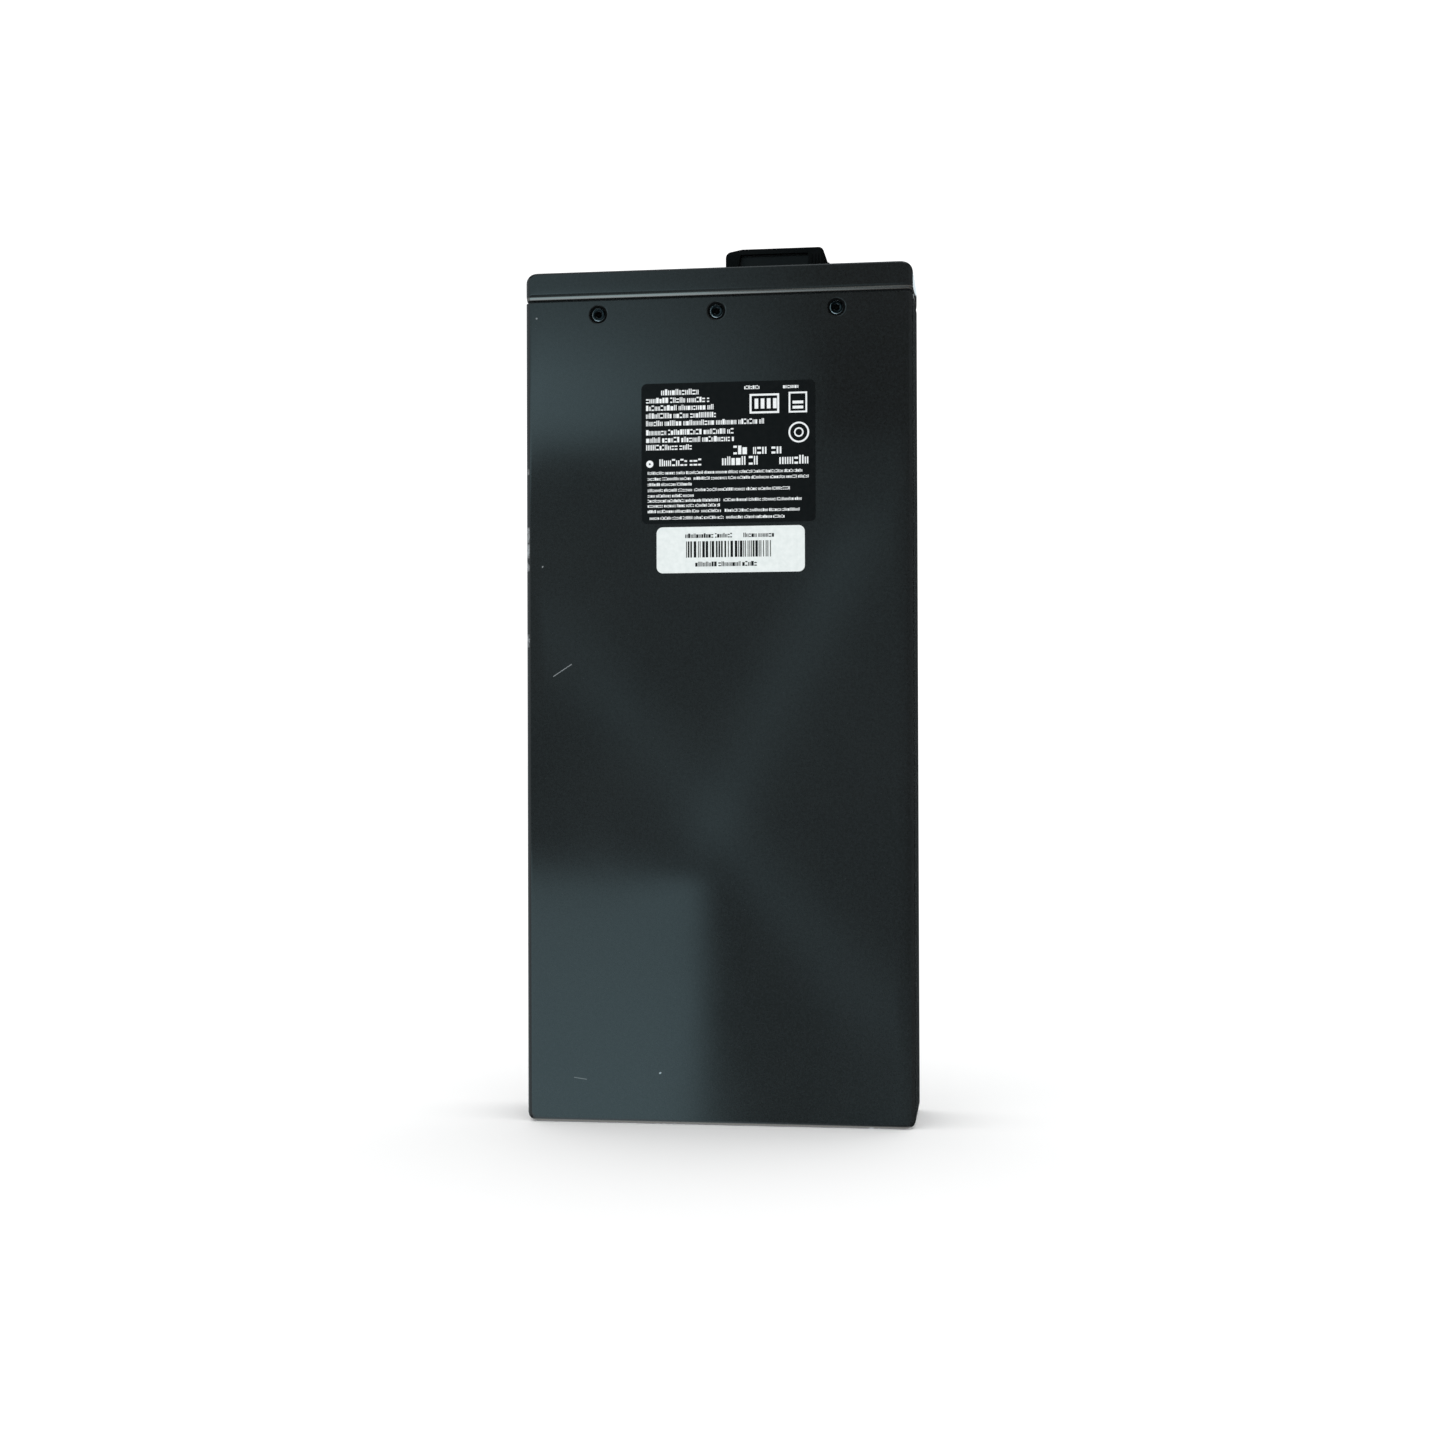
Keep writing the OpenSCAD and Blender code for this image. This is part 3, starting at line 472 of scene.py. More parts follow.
def cap_levels():
    """Levels of the cap's outside, as (z, half width, half depth, corner radius)."""
    made = [(cap_z - SKIRT_LONG, *skirt, 1.0), (cap_z, *skirt, 1.0)]
    for a in np.linspace(0, math.pi / 2, 13)[1:]:
        back, rise = LIP_IN * (1 - math.sin(a)), LIP_HIGH * (1 - math.cos(a))
        made.append((cap_z + rise, half_w - 0.3 * back, half_t - back, EDGE_R - 0.9 * back))
    high = cap_top - CORNER_R
    rises = np.concatenate([CORNER_R * np.sin(turn), CORNER_R - TOP_R + TOP_R * np.sin(turn)])
    for z in np.unique(np.round(rises, 4)):
        back_x = round_inset(CORNER_R - z, CORNER_R) if z > 0 else 0
        back_y = round_inset(CORNER_R - z, TOP_R) if z > CORNER_R - TOP_R else 0
        made.append((high + z, half_w - back_x, half_t - back_y, EDGE_R - 0.9 * min(back_x, back_y)))
    return made


def flat_with_holes(loops, z):
    """Triangles that fill an outer loop round several inner loops, all at one height."""
    triangles = tessellate_polygon([[Vector((x, y, 0)) for x, y in loop] for loop in loops])
    flat = np.vstack(loops)
    return np.column_stack([flat, np.full(len(flat), z)]), np.array(triangles)


cavity = (half_w - CAP_WALL, half_t - CAP_WALL, 1.5)
throat = (skirt[0] - SKIRT_WALL, skirt[1] - SKIRT_WALL, 0.8)
inside = [(cap_top - PLATE, *cavity), (cap_z + LEDGE, *cavity),
          (cap_z + LEDGE, *throat), (cap_z - SKIRT_LONG, *throat)]
outside = cap_levels()
last_z, last_x, last_y, last_r = outside[-1]
outside.append((last_z, last_x - 0.4, last_y - 0.4, max(last_r - 0.3, 0.3)))
rings = carried_outline(cap_marks, inside + outside)
cap_points, cap_faces = rings.reshape(-1, 3), list(grid_faces(*rings.shape[:2]))
corners = np.array([[CUT_X[i], CUT_Y[j]] for i, j in ((0, 0), (1, 0), (1, 1), (0, 1))])
a = np.linspace(0, 2 * math.pi, 48, endpoint=False)
holes = [corners] + [np.stack([x + r * np.cos(a), y + r * np.sin(a)], 1) for x, y, r in ROUND_HOLES]
for ring, z in ((rings[-1], cap_top), (rings[0], cap_top - PLATE)):
    more, triangles = flat_with_holes([ring[:, :2]] + holes, z)
    cap_faces += list(triangles + len(cap_points))
    cap_points = np.vstack([cap_points, more])
for hole in holes:
    wall = [np.column_stack([hole, np.full(len(hole), z)]) for z in (cap_top - PLATE, cap_top)]
    cap_faces += list(grid_faces(2, len(hole), start=len(cap_points)))
    cap_points = np.vstack([cap_points] + wall)


def swept(radii, heights, centre, axis):
    """Rings about an axis: a row of radii per ring, one per direction, and a height per ring."""
    a = np.linspace(0, 2 * math.pi, radii.shape[1], endpoint=False)
    axis = np.asarray(axis, float)
    u = np.cross(axis, [1.0, 0, 0])
    around = np.cos(a)[:, None] * u + np.sin(a)[:, None] * np.cross(axis, u)
    return (np.asarray(centre, float) + radii[:, :, None] * around
            + np.asarray(heights, float)[:, None, None] * axis).reshape(-1, 3)


TURN_STEPS = 24


def turned(profile, centre, axis, steps=TURN_STEPS):
    """Turns (radius, height) pairs about an axis from a centre."""
    profile = np.asarray(profile, float)
    return swept(np.repeat(profile[:, :1], steps, 1), profile[:, 1], centre, axis)


board_lo, board_hi = box_mm("status_board")
post_h = cap_top - PLATE - board_hi[2]
BOSS_BACK, BOSS_BORE, BOSS_R, BOSS_LONG = 8.5, 1.53, 4, 6.9
POST_IN, POST_Y, POST_BORE, POST_R = 3, 6, 1.03, 2.4
bosses = [((x, side * (half_t - BOSS_BACK), screw_z), (0, side, 0), BOSS_BORE, BOSS_R, BOSS_LONG)
          for x in screw_x for side in (-1, 1)]
bosses += [((x, POST_Y, board_hi[2]), (0, 0, 1), POST_BORE, POST_R, post_h)
           for x in (board_lo[0] + POST_IN, board_hi[0] - POST_IN)]
for centre, axis, bore, radius, length in bosses:
    tube = turned([(bore, 0), (radius, 0), (radius, length), (bore, length)], centre, axis)
    cap_faces += list(grid_faces(4, TURN_STEPS, wrap_rows=True, start=len(cap_points)))
    cap_points = np.vstack([cap_points, tube])
cap = make_piece("cap_shell", cap_points, cap_faces, stands_for=["end_cap"])
sharp_edges(outward(cap), 30)
cap.data.materials.append(cap_paint)
print("cap_shell faces:", len(cap.data.polygons))

# %% [markdown]
# ## Printed labels
# Both labels are die-cut polyester film, a tenth of a millimetre thick, with the print on top. The
# film is a thin slab with round corners. The print carries no words: each line of text is a row of
# plain blocks, and the pictograms are plain figures. Each mark is a closed slab 0.02 mm proud of the
# film, and thousands of them are made from one array of rectangles.

# %% Film and print
FILM_T, PRINT_T = 0.075, 0.02
FILM_BEVEL = (0.02, 0.03)


def film(name, node_name, radius):
    """A slab: the outline of a round rectangle carried from the back of the film to its front."""
    lo, hi = box_mm(node_name)
    half, middle = (hi - lo) / 2, (hi + lo) / 2
    marks = outline_marks(np.linspace(-1, 1, 3), np.linspace(-1, 1, 3))
    full = np.array([half[0], half[2], radius])
    sheet = carried_outline(marks, [(0, *full), (FILM_T - FILM_BEVEL[0], *full),
                                    (FILM_T, *(full - FILM_BEVEL[1]))])
    flat = np.vstack([sheet.reshape(-1, 3), [[0, 0, 0], [0, 0, FILM_T]]])
    points = np.stack([middle[0] + flat[:, 0], hi[1] - flat[:, 2], middle[2] + flat[:, 1]], 1)
    piece = make_piece(name, points, closed_faces(*sheet.shape[:2]), stands_for=[node_name])
    return sharp_edges(outward(piece), 20), lo, hi


def slabs(rectangles, corner, front):
    """Closed boxes from an array of (left, top, right, bottom), measured right and down from a corner."""
    left, top, right, bottom = np.asarray(rectangles, float).T
    back = np.full(len(left), front)
    return boxes(np.stack([corner[0] + left, back - PRINT_T, corner[1] - bottom], 1),
                 np.stack([corner[0] + right, back, corner[1] - top], 1))


def block_row(left, right, middle, height, draw):
    """A row of plain blocks in groups, as wide as a printed line: blocks about half as wide as high."""
    made, x = [], left
    while x < right - 0.3 * height:
        for _ in range(int(draw.integers(5, 12))):
            wide = height * draw.uniform(0.34, 0.56)
            if x + wide > right:
                break
            top, low = middle + height * draw.choice([-0.3, -0.3, -0.5]), middle + height / 2
            kind, line = draw.integers(0, 4), 0.24 * height
            if kind == 0:
                made.append((x, top, x + wide, low))
            elif kind == 1:
                made += [(x, top, x + wide, top + line), (x, low - line, x + wide, low)]
            else:
                made += [(x, top, x + 0.36 * wide, low), (x + 0.64 * wide, top, x + wide, low)]
            x += wide + 0.13 * height
        x += 0.26 * height
    return made


def frame_of(left, top, right, bottom, line):
    """Four strips round a rectangle."""
    return [(left, top, right, top + line), (left, bottom - line, right, bottom),
            (left, top + line, left + line, bottom - line), (right - line, top + line, right, bottom - line)]


def ring_slab(centre, radius, line, sides, corner, front, start):
    """A flat ring: a square section carried round a circle."""
    a = np.linspace(0, 2 * math.pi, sides, endpoint=False)
    r = np.array([radius - line, radius, radius, radius - line])[:, None]
    y = np.array([front, front, front - PRINT_T, front - PRINT_T])[:, None]
    points = np.stack([corner[0] + centre[0] + r * np.cos(a), y + 0 * a,
                       corner[1] - centre[1] + r * np.sin(a)], -1).reshape(-1, 3)
    return points, grid_faces(4, sides, wrap_rows=True, start=start)

# %% The black rating label
rating, rating_lo, rating_hi = film("rating_label_film", "rating_label", 2.0)
draw = np.random.default_rng(7)
blocks = []
LINES = [(7.2, 21.5, 3.2, 2.1), (37.3, 43.1, 2.2, 1.3), (51.2, 57.2, 2.2, 1.3),
         (1.7, 25.4, 6.1, 1.9), (1.7, 27.3, 8.8, 1.9), (1.7, 27.4, 11.6, 1.9), (1.7, 45.2, 14.3, 1.9),
         (1.7, 33.7, 17.6, 1.9), (1.7, 34.3, 20.3, 1.9), (1.7, 18.9, 23.0, 1.9),
         (33.3, 38.8, 24.5, 3.1), (40.4, 45.6, 24.5, 3.1), (47.0, 52.2, 24.5, 3.1),
         (29.2, 43.8, 28.3, 3.1), (49.8, 60.5, 28.3, 3.1), (6.5, 23.1, 28.5, 2.5),
         (2.2, 58.4, 32.2, 1.05), (2.2, 17.9, 34.3, 1.05), (18.9, 60.3, 34.3, 1.05), (2.2, 18.9, 36.3, 1.05),
         (2.2, 18.4, 38.4, 1.05), (19.1, 54.1, 38.4, 1.05), (2.2, 19.2, 40.4, 1.05), (2.2, 28.7, 42.2, 1.05),
         (29.7, 57.9, 42.2, 1.05), (2.2, 28.7, 44.0, 1.05), (2.2, 20.9, 46.0, 1.05), (21.6, 29.2, 46.0, 1.05),
         (30.1, 57.2, 46.0, 1.05), (2.9, 29.9, 48.4, 1.05), (30.6, 52.2, 48.4, 1.05)]
for left, right, middle, height in LINES:
    blocks += block_row(left, right, middle, height, draw)
blocks += frame_of(39.2, 4.6, 49.8, 11.6, 0.7)
blocks += [(41 + 2.2 * i, 6.3, 42.3 + 2.2 * i, 9.9) for i in range(4)]
blocks += frame_of(53.2, 4.2, 59.8, 11.6, 0.6) + [(54.6, 9.2, 58.4, 10.2), (54.6, 7.4, 58.4, 8.4)]
corner = (rating_lo[0], rating_hi[2])
front = rating_hi[1] - FILM_T
points, faces = slabs(blocks, corner, front)
for centre, radius, line in (((56.8, 18.6), 3.7, 0.6), ((56.8, 18.6), 1.7, 0.5), ((3.0, 28.9), 1.3, 0.95)):
    more, more_faces = ring_slab(centre, radius, line, 32, corner, front, len(points))
    points, faces = np.vstack([points, more]), np.vstack([faces, more_faces])
rating_print = make_piece("rating_label_print", points, faces, smooth=False)
outward(rating_print)
print("blocks printed on the rating label:", len(blocks))

# %% The white bar label
barcode, bar_lo, bar_hi = film("barcode_label_film", "barcode_label", 2.2)
bars, x = [], 10.7
while x < 41.8:
    wide = 0.3 * draw.choice([1, 1, 2, 3])
    bars.append((x, 5.2, min(x + wide, 42.1), 11.0))
    x += wide + 0.32 * draw.choice([1, 1, 2, 2])
for left, right, middle, height in ((10.4, 27.8, 3.2, 1.6), (31.4, 43.0, 3.2, 1.6), (14.0, 36.3, 13.4, 1.7)):
    bars += block_row(left, right, middle, height, draw)
points, faces = slabs(bars, (bar_lo[0], bar_hi[2]), bar_hi[1] - FILM_T)
barcode_print = outward(make_piece("barcode_label_print", points, faces, smooth=False))
print("bars and blocks on the white label:", len(bars))

# %% [markdown]
# ## Finishes of film and ink
# Polyester film is smooth and a little glossier than the paint. Adhesive under it leaves very
# shallow ripples several millimetres long. Screen ink has a slightly uneven density, so its colour
# varies over about half a millimetre.

# %% Film and ink
def printed_surface(name, dark, light, grain_mm, roughness, ripple, ior=1.5):
    """Two close colours mixed by a fine noise, and shallow ripples a few millimetres long."""
    made, tree, shader, place = start_finish(name)
    grain = node(tree, "TexNoise", {"Vector": place, "Scale": size(grain_mm), "Detail": 4.0}).outputs[0]
    wave = node(tree, "TexNoise", {"Vector": place, "Scale": size(9), "Detail": 1.0}).outputs[0]
    bump = node(tree, "Bump", {"Height": wave, "Strength": ripple, "Distance": 0.0003})
    share = between(tree, grain, 0.35, 0.65)
    plug(tree, shader, {"Base Color": blend_colour(tree, share, linear(dark), linear(light)),
                        "Roughness": between(tree, grain, 0.3, 0.7, roughness - 0.05, roughness + 0.05),
                        "IOR": ior, "Normal": bump.outputs[0]})
    return made


black_film = printed_surface("black_polyester_film", "#080B0C", "#0C0F10", 2.0, 0.5, 0.01, 1.3)
white_film = printed_surface("white_polyester_film", "#D9E0DF", "#E2E8E7", 2.0, 0.4, 0.02)
white_ink = printed_surface("white_screen_ink", "#DDE2E3", "#ECEFF0", 0.5, 0.5, 0.0)
black_ink = printed_surface("black_thermal_ink", "#060708", "#0F1112", 0.4, 0.6, 0.0, 1.35)
for piece, finish in ((rating, black_film), (rating_print, white_ink), (barcode, white_film),
                      (barcode_print, black_ink)):
    piece.data.materials.append(finish)

# %% [markdown]
# ## Softened machine parts
# The design's moulded and turned parts have the right shape but knife-sharp edges, and no real
# moulding has those: a tool leaves a radius of a tenth or two of a millimetre, and that radius is
# what catches the light. Each is copied, its loose triangles are merged into whole faces, and a
# Bevel rounds the edges. The copy stands for the design's solid.

# %% Copy, merge and round the edges
def softened(node_name, radius, segments=2, angle=30):
    """A merged copy of a design solid with its edges rounded to a radius in millimetres."""
    mesh = bpy.data.meshes.new(node_name + "_softened")
    work = bmesh.new()
    work.from_mesh(frame["nodes"][node_name].data)
    bmesh.ops.remove_doubles(work, verts=work.verts, dist=2e-6)
    bmesh.ops.dissolve_limit(work, angle_limit=math.radians(0.5), verts=work.verts, edges=work.edges)
    work.to_mesh(mesh)
    work.free()
    mesh.polygons.foreach_set("use_smooth", np.full(len(mesh.polygons), True))
    mesh.materials.clear()
    piece = bpy.data.objects.new(node_name + "_moulding", mesh)
    bpy.context.scene.collection.objects.link(piece)
    rounding = piece.modifiers.new("edge radius", "BEVEL")
    rounding.width, rounding.segments = radius * mm, segments
    rounding.limit_method, rounding.angle_limit = "ANGLE", math.radians(angle)
    sharp_edges(piece, 40)
    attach(piece, body_of(frame["nodes"][node_name])[0])
    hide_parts(node_name)
    return piece

# %% [markdown]
# ## Finishes of the small parts
# Most of the small parts fall into three families. A moulded or pressed non-metal has a base colour
# that varies a little and a fine texture from its tool. A metal has grain, drawn out along one axis
# where it was rolled or turned. A board is a painted laminate with a pattern of copper under the
# paint. Every family takes its real colours, roughness and grain size.

# %% Families of finish
def moulded(name, dark, light, roughness, grain_mm, bump_um, ior=1.5, coat=0.0, see_through=0.0):
    """Plastic, rubber, foam or resin: two close colours, tool texture, and rubbed places that shine."""
    made, tree, shader, place = start_finish(name)
    grain = node(tree, "TexNoise", {"Vector": place, "Scale": size(grain_mm), "Detail": 5.0}).outputs[0]
    cloud = node(tree, "TexNoise", {"Vector": place, "Scale": size(14), "Detail": 3.0}).outputs[0]
    bump = node(tree, "Bump", {"Height": grain, "Strength": 0.5, "Distance": bump_um * 1e-6})
    share = between(tree, cloud, 0.35, 0.65)
    smoothest = max(roughness - 0.06, 0.03)
    plug(tree, shader, {"Base Color": blend_colour(tree, share, linear(dark), linear(light)),
                        "Roughness": between(tree, cloud, 0.3, 0.7, smoothest, roughness + 0.06),
                        "IOR": ior, "Coat Weight": coat, "Transmission Weight": see_through,
                        "Normal": bump.outputs[0]})
    return made


def metal(name, dark, light, roughness, grain_mm, stretch=(1, 1, 1), bump_um=6):
    """Metal with a grain stretched along its rolling or turning direction, and dull patches."""
    made, tree, shader, place = start_finish(name)
    laid = node(tree, "Mapping", {"Vector": place, "Scale": stretch}).outputs[0]
    grain = node(tree, "TexNoise", {"Vector": laid, "Scale": size(grain_mm), "Detail": 4.0}).outputs[0]
    dull = node(tree, "TexNoise", {"Vector": place, "Scale": size(6), "Detail": 4.0}).outputs[0]
    bump = node(tree, "Bump", {"Height": grain, "Strength": 0.5, "Distance": bump_um * 1e-6})
    share = between(tree, dull, 0.3, 0.7)
    smoothest = max(roughness - 0.08, 0.05)
    plug(tree, shader, {"Base Color": blend_colour(tree, share, linear(dark), linear(light)),
                        "Roughness": between(tree, dull, 0.3, 0.7, smoothest, roughness + 0.08),
                        "Metallic": 1.0, "Normal": bump.outputs[0]})
    return made


def laminate_board(name):
    """Solder mask over copper: paler tracks 0.5 mm wide in a brick layout, and tinned vias."""
    made, tree, shader, place = start_finish(name)
    tracks = node(tree, "TexBrick", {"Vector": place, "Color1": (0, 0, 0, 1), "Color2": (0.3, 0.3, 0.3, 1),
                                     "Mortar": (1, 1, 1, 1), "Scale": size(6), "Mortar Size": 0.045,
                                     "Mortar Smooth": 0.1, "Brick Width": 1.0, "Row Height": 0.35},
                  offset=0.37).outputs[0]
    dots = node(tree, "TexVoronoi", {"Vector": place, "Scale": size(3.1), "Randomness": 0.7}).outputs[0]
    via = between(tree, dots, 0.10, 0.13, 1.0, 0.0)
    mask = blend_colour(tree, tracks, linear("#123A27"), linear("#1E5C3C"))
    bump = node(tree, "Bump", {"Height": tracks, "Strength": 0.6, "Distance": 0.00004})
    plug(tree, shader, {"Base Color": blend_colour(tree, via, mask, linear("#A9A48C")), "Metallic": via,
                        "Roughness": 0.35, "Coat Weight": 0.4, "Normal": bump.outputs[0]})
    return made


def aluminium_laminate(name):
    """Nylon-faced foil of a pouch: metal under a clear coat, with creases and an embossed seal grid."""
    made, tree, shader, place = start_finish(name)
    crease = node(tree, "TexNoise", {"Vector": place, "Scale": size(11), "Detail": 5.0,
                                     "Distortion": 0.6}).outputs[0]
    emboss = node(tree, "TexVoronoi", {"Vector": place, "Scale": size(1.2), "Randomness": 0.0}).outputs[0]
    share = between(tree, crease, 0.35, 0.65)
    height = node(tree, "Math", {0: crease, 1: product(tree, emboss, 0.12)}, operation="ADD").outputs[0]
    bump = node(tree, "Bump", {"Height": height, "Strength": 0.5, "Distance": 0.0004})
    plug(tree, shader, {"Base Color": blend_colour(tree, share, linear("#A3A9AE"), linear("#B9BFC3")),
                        "Metallic": 0.85, "Roughness": between(tree, crease, 0.3, 0.7, 0.28, 0.42),
                        "Coat Weight": 0.5, "Normal": bump.outputs[0]})
    return made


FINISHES = {
    "black_silicone": moulded("black_silicone_rubber", "#0C0E0F", "#15181A", 0.62, 0.4, 25, 1.41),
    "blackened_steel": metal("black_oxide_steel", "#2B2E30", "#3A3E40", 0.22, 0.3, bump_um=1),
    "housing_nylon": moulded("glass_filled_nylon", "#0C1112", "#12181A", 0.5, 0.35, 8, 1.38),
    "cover_nylon": moulded("spark_textured_nylon", "#030404", "#070909", 0.55, 0.5, 8, 1.25),
    "contact_insulator": moulded("blue_grey_pbt", "#333F48", "#3F4D58", 0.45, 0.4, 15, 1.55),
    "plated_brass": metal("gold_plated_brass", "#C79A45", "#DDB866", 0.24, 0.4),
    "zinc_steel": metal("zinc_plated_steel", "#8F959A", "#B3B8BB", 0.33, 0.3),
    "stainless_steel": metal("stainless_spring_steel", "#A6A9AB", "#C4C7C9", 0.26, 0.3, (1, 1, 1)),
    "switch_plastic": moulded("switch_nylon", "#1E2123", "#2B2F32", 0.4, 0.3, 10),
    "button_rubber": moulded("grey_button_rubber", "#3B4247", "#4A5258", 0.58, 0.3, 20, 1.46),
    "clear_plastic": moulded("clear_polycarbonate", "#E9EEF0", "#F4F7F8", 0.12, 2.0, 3, 1.58, 0.0, 0.85),
    "circuit_board": laminate_board("green_masked_fr4"),
    "led_body": moulded("milky_led_epoxy", "#DDE3DA", "#EEF2EA", 0.3, 0.4, 6, 1.52, 0.2),
    "foam": moulded("closed_cell_foam", "#2C3032", "#4A4F52", 0.85, 0.5, 110, 1.45),
    "pouch_film": aluminium_laminate("nylon_faced_pouch_foil"),
    "tab_aluminium": metal("rolled_aluminium_tab", "#B6BABD", "#CDD0D2", 0.3, 0.15, (1, 1, 0.08)),
    "tab_copper": metal("rolled_copper_tab", "#A8653C", "#C98355", 0.3, 0.15, (1, 1, 0.08)),
    "bar_copper": metal("sheared_copper_bar", "#A0602F", "#C67F4E", 0.27, 0.2, (0.1, 1, 1)),
    "insulating_sheet": moulded("vulcanised_fibre_sheet", "#808D79", "#98A590", 0.62, 0.35, 20, 1.5),
    "tray_plastic": moulded("tray_abs", "#282D31", "#363C41", 0.48, 0.5, 18, 1.54),
    "ribbon_film": moulded("amber_polyimide_film", "#A9661A", "#CE8E33", 0.28, 1.2, 6, 1.6, 0.3),
    "thermistor_resin": moulded("blue_epoxy_bead", "#17326F", "#23468F", 0.3, 0.5, 8, 1.55, 0.3),
    "chip_resin": moulded("moulded_epoxy_chip", "#121415", "#1F2224", 0.52, 0.2, 9, 1.55),
    "bare_aluminium": metal("extruded_aluminium", "#A5A9AC", "#C2C6C9", 0.36, 0.25, (0.06, 1, 1)),
    "shunt_alloy": metal("manganin_strip", "#8E7760", "#B09A80", 0.34, 0.2, (0.1, 1, 1)),
    "header_plastic": moulded("ivory_nylon_header", "#D9D3C2", "#EAE5D7", 0.42, 0.4, 10, 1.53),
    "fuse_ceramic": moulded("glazed_ceramic", "#C3C9CC", "#DCE0E2", 0.2, 0.8, 5, 1.6, 0.3),
    "red_lead": moulded("red_silicone_lead", "#981F1A", "#B82C25", 0.42, 0.4, 8, 1.45),
    "black_lead": moulded("black_silicone_lead", "#121415", "#1F2224", 0.42, 0.4, 8, 1.45),
    "signal_wire": moulded("pale_ptfe_wire", "#CBC6BA", "#E1DDD1", 0.38, 0.4, 6, 1.38),
}
print("finishes of small parts:", len(FINISHES))

# %% Round the edges of the moulded and machined parts
slot_of = {part["node"]: part["material_slot"] for part in record["subparts"]}
EDGES = {"connector_cover": 0.18, "connector_housing": 0.2, "contact_block": 0.12,
         "cover_seal": 0.2, "vent_plug": 0.15, "heat_spreader": 0.12, "board_carrier": 0.2,
         "tab_tray_lower": 0.2, "tab_tray_upper": 0.2, "power_transistors": 0.15, "board_chips": 0.08,
         "button_switch": 0.15, "sense_header": 0.2, "main_fuse": 0.2, "connector_screws": 0.1,
         "board_screws": 0.12, "status_board_screws": 0.1, "status_leds": 0.1, "current_shunt": 0.12,
         "cover_pin": 0.12, "light_pipe": 0.08}
for node_name, radius in EDGES.items():
    piece = softened(node_name, radius)
    piece.data.materials.append(FINISHES[slot_of[node_name]])
print("softened parts:", len(EDGES))

# %% [markdown]
# ## The case screws
# Black oxide countersunk screws with a hexagon socket. The head is turned, so its rim has a small
# radius, and the socket is punched: a hexagon is a circle whose radius grows as 1 / cos of the angle
# from the middle of each flat. Two colours stand in for light and shade: the rim of each head is a
# pale metal, a painted highlight, and the seats in the can are a dull near-black, a painted shade.

# %% Screws and their seats
HEAD_R, HEAD_DEPTH, RIM_R, SHANK_R, FLAT_R = 2.62, 0.47, 0.62, 1.5, 1.02
steps = 48
turn_a = np.linspace(0, 2 * math.pi, steps, endpoint=False)
hexagon = 1 / np.cos(turn_a % (math.pi / 3) - math.pi / 6)
circle = np.ones(steps)
bend = np.linspace(0, math.pi / 2, 6)
low_rim = -HEAD_DEPTH - RIM_R
head = [(SHANK_R - 0.3, -8.4, 0), (SHANK_R, -8.1, 0), (SHANK_R, -1.75, 0), (HEAD_R, low_rim - 0.1, 0)]
head += [(HEAD_R - RIM_R + RIM_R * math.cos(b), low_rim + RIM_R * math.sin(b), 0) for b in bend]
head += [(1.36, -HEAD_DEPTH, 0), (1.28, -HEAD_DEPTH - 0.05, 0), (FLAT_R, -HEAD_DEPTH - 0.22, 1),
         (FLAT_R, -HEAD_DEPTH - 1.0, 1)]
radii = np.array([r * (hexagon if flat else circle) for r, _, flat in head])
heights = [h for _, h, _ in head]
points, faces = [], []
for x in screw_x:
    for side in (-1, 1):
        faces += closed_faces(len(head), steps, sum(len(p) for p in points))
        poles = [(x, side * (half_t + h), screw_z) for h in (heights[0], heights[-1] - 0.15)]
        points += [swept(radii, heights, (x, side * half_t, screw_z), (0, side, 0)), np.array(poles)]
screws = outward(make_piece("case_screws_turned", np.vstack(points), faces,
                            stands_for=["case_screws"]))
sharp_edges(screws, 35)
screws.data.materials.append(FINISHES["blackened_steel"])
# The rims of the heads get a pale metal: a painted highlight.
screws.data.materials.append(metal("steel_rim_with_painted_highlight", "#A9ADAF", "#C6CACC", 0.22, 0.3, bump_um=1))
# The countersink seats get a dull near-black: painted shade in the recesses.
seat_shade = moulded("painted_shade_in_seats", "#050606", "#0A0B0C", 0.85, 0.5, 6, 1.2)
can.data.materials.append(seat_shade)


def give_second_finish(piece, radius, depth):
    """Second material for the faces within a range of radii from a screw axis and of depths."""
    centres = np.empty(3 * len(piece.data.polygons))
    piece.data.polygons.foreach_get("center", centres)
    x, y, z = centres.reshape(-1, 3).T / mm
    from_axis = np.min(np.hypot(x[:, None] - np.array(screw_x), z[:, None] - screw_z), 1)
    below = half_t - np.abs(y)
    chosen = (from_axis > radius[0]) & (from_axis < radius[1]) & (below > depth[0]) & (below < depth[1])
    piece.data.polygons.foreach_set("material_index", chosen.astype(np.int32))
    return int(chosen.sum())


print("seat faces:", give_second_finish(can, (0, 3.3), (0.03, WALL - 0.01)),
      "rim faces:", give_second_finish(screws, (2.25, 2.58), (HEAD_DEPTH, HEAD_DEPTH + 0.5)),
      "of", len(screws.data.polygons))

# %% [markdown]
# ## The status button
# The button is moulded in rubber: a round key with a finger dish, a soft shoulder and a flange that
# holds it under the plate. Its section is a line of radii and heights turned about its axis.

# %% The button
button_lo, button_hi = box_mm("status_button")
button_x = (button_lo[0] + button_hi[0]) / 2
foot, top, key_r, flange_r = button_lo[2], button_hi[2], 4.9, (button_hi[0] - button_lo[0]) / 2
SHOULDER_R, DISH_R, DISH_DEPTH, BUTTON_STEPS = 0.35, 4.2, 0.38, 64
section = [(1.5, foot), (1.6, foot + 0.1), (1.6, foot + 0.9), (flange_r - 0.2, foot + 0.95),
           (flange_r, foot + 1.1), (flange_r, foot + 1.3), (flange_r - 0.2, foot + 1.45),
           (key_r, foot + 1.45)]
section += [(key_r - SHOULDER_R + SHOULDER_R * math.cos(t), top - SHOULDER_R + SHOULDER_R * math.sin(t))
            for t in np.linspace(0, math.pi / 2, 6)]
section += [(r, top - DISH_DEPTH * (1 - (r / DISH_R) ** 2)) for r in np.linspace(DISH_R, 0.5, 8)]
rings = turned(section, (button_x, 0, 0), (0, 0, 1), BUTTON_STEPS)
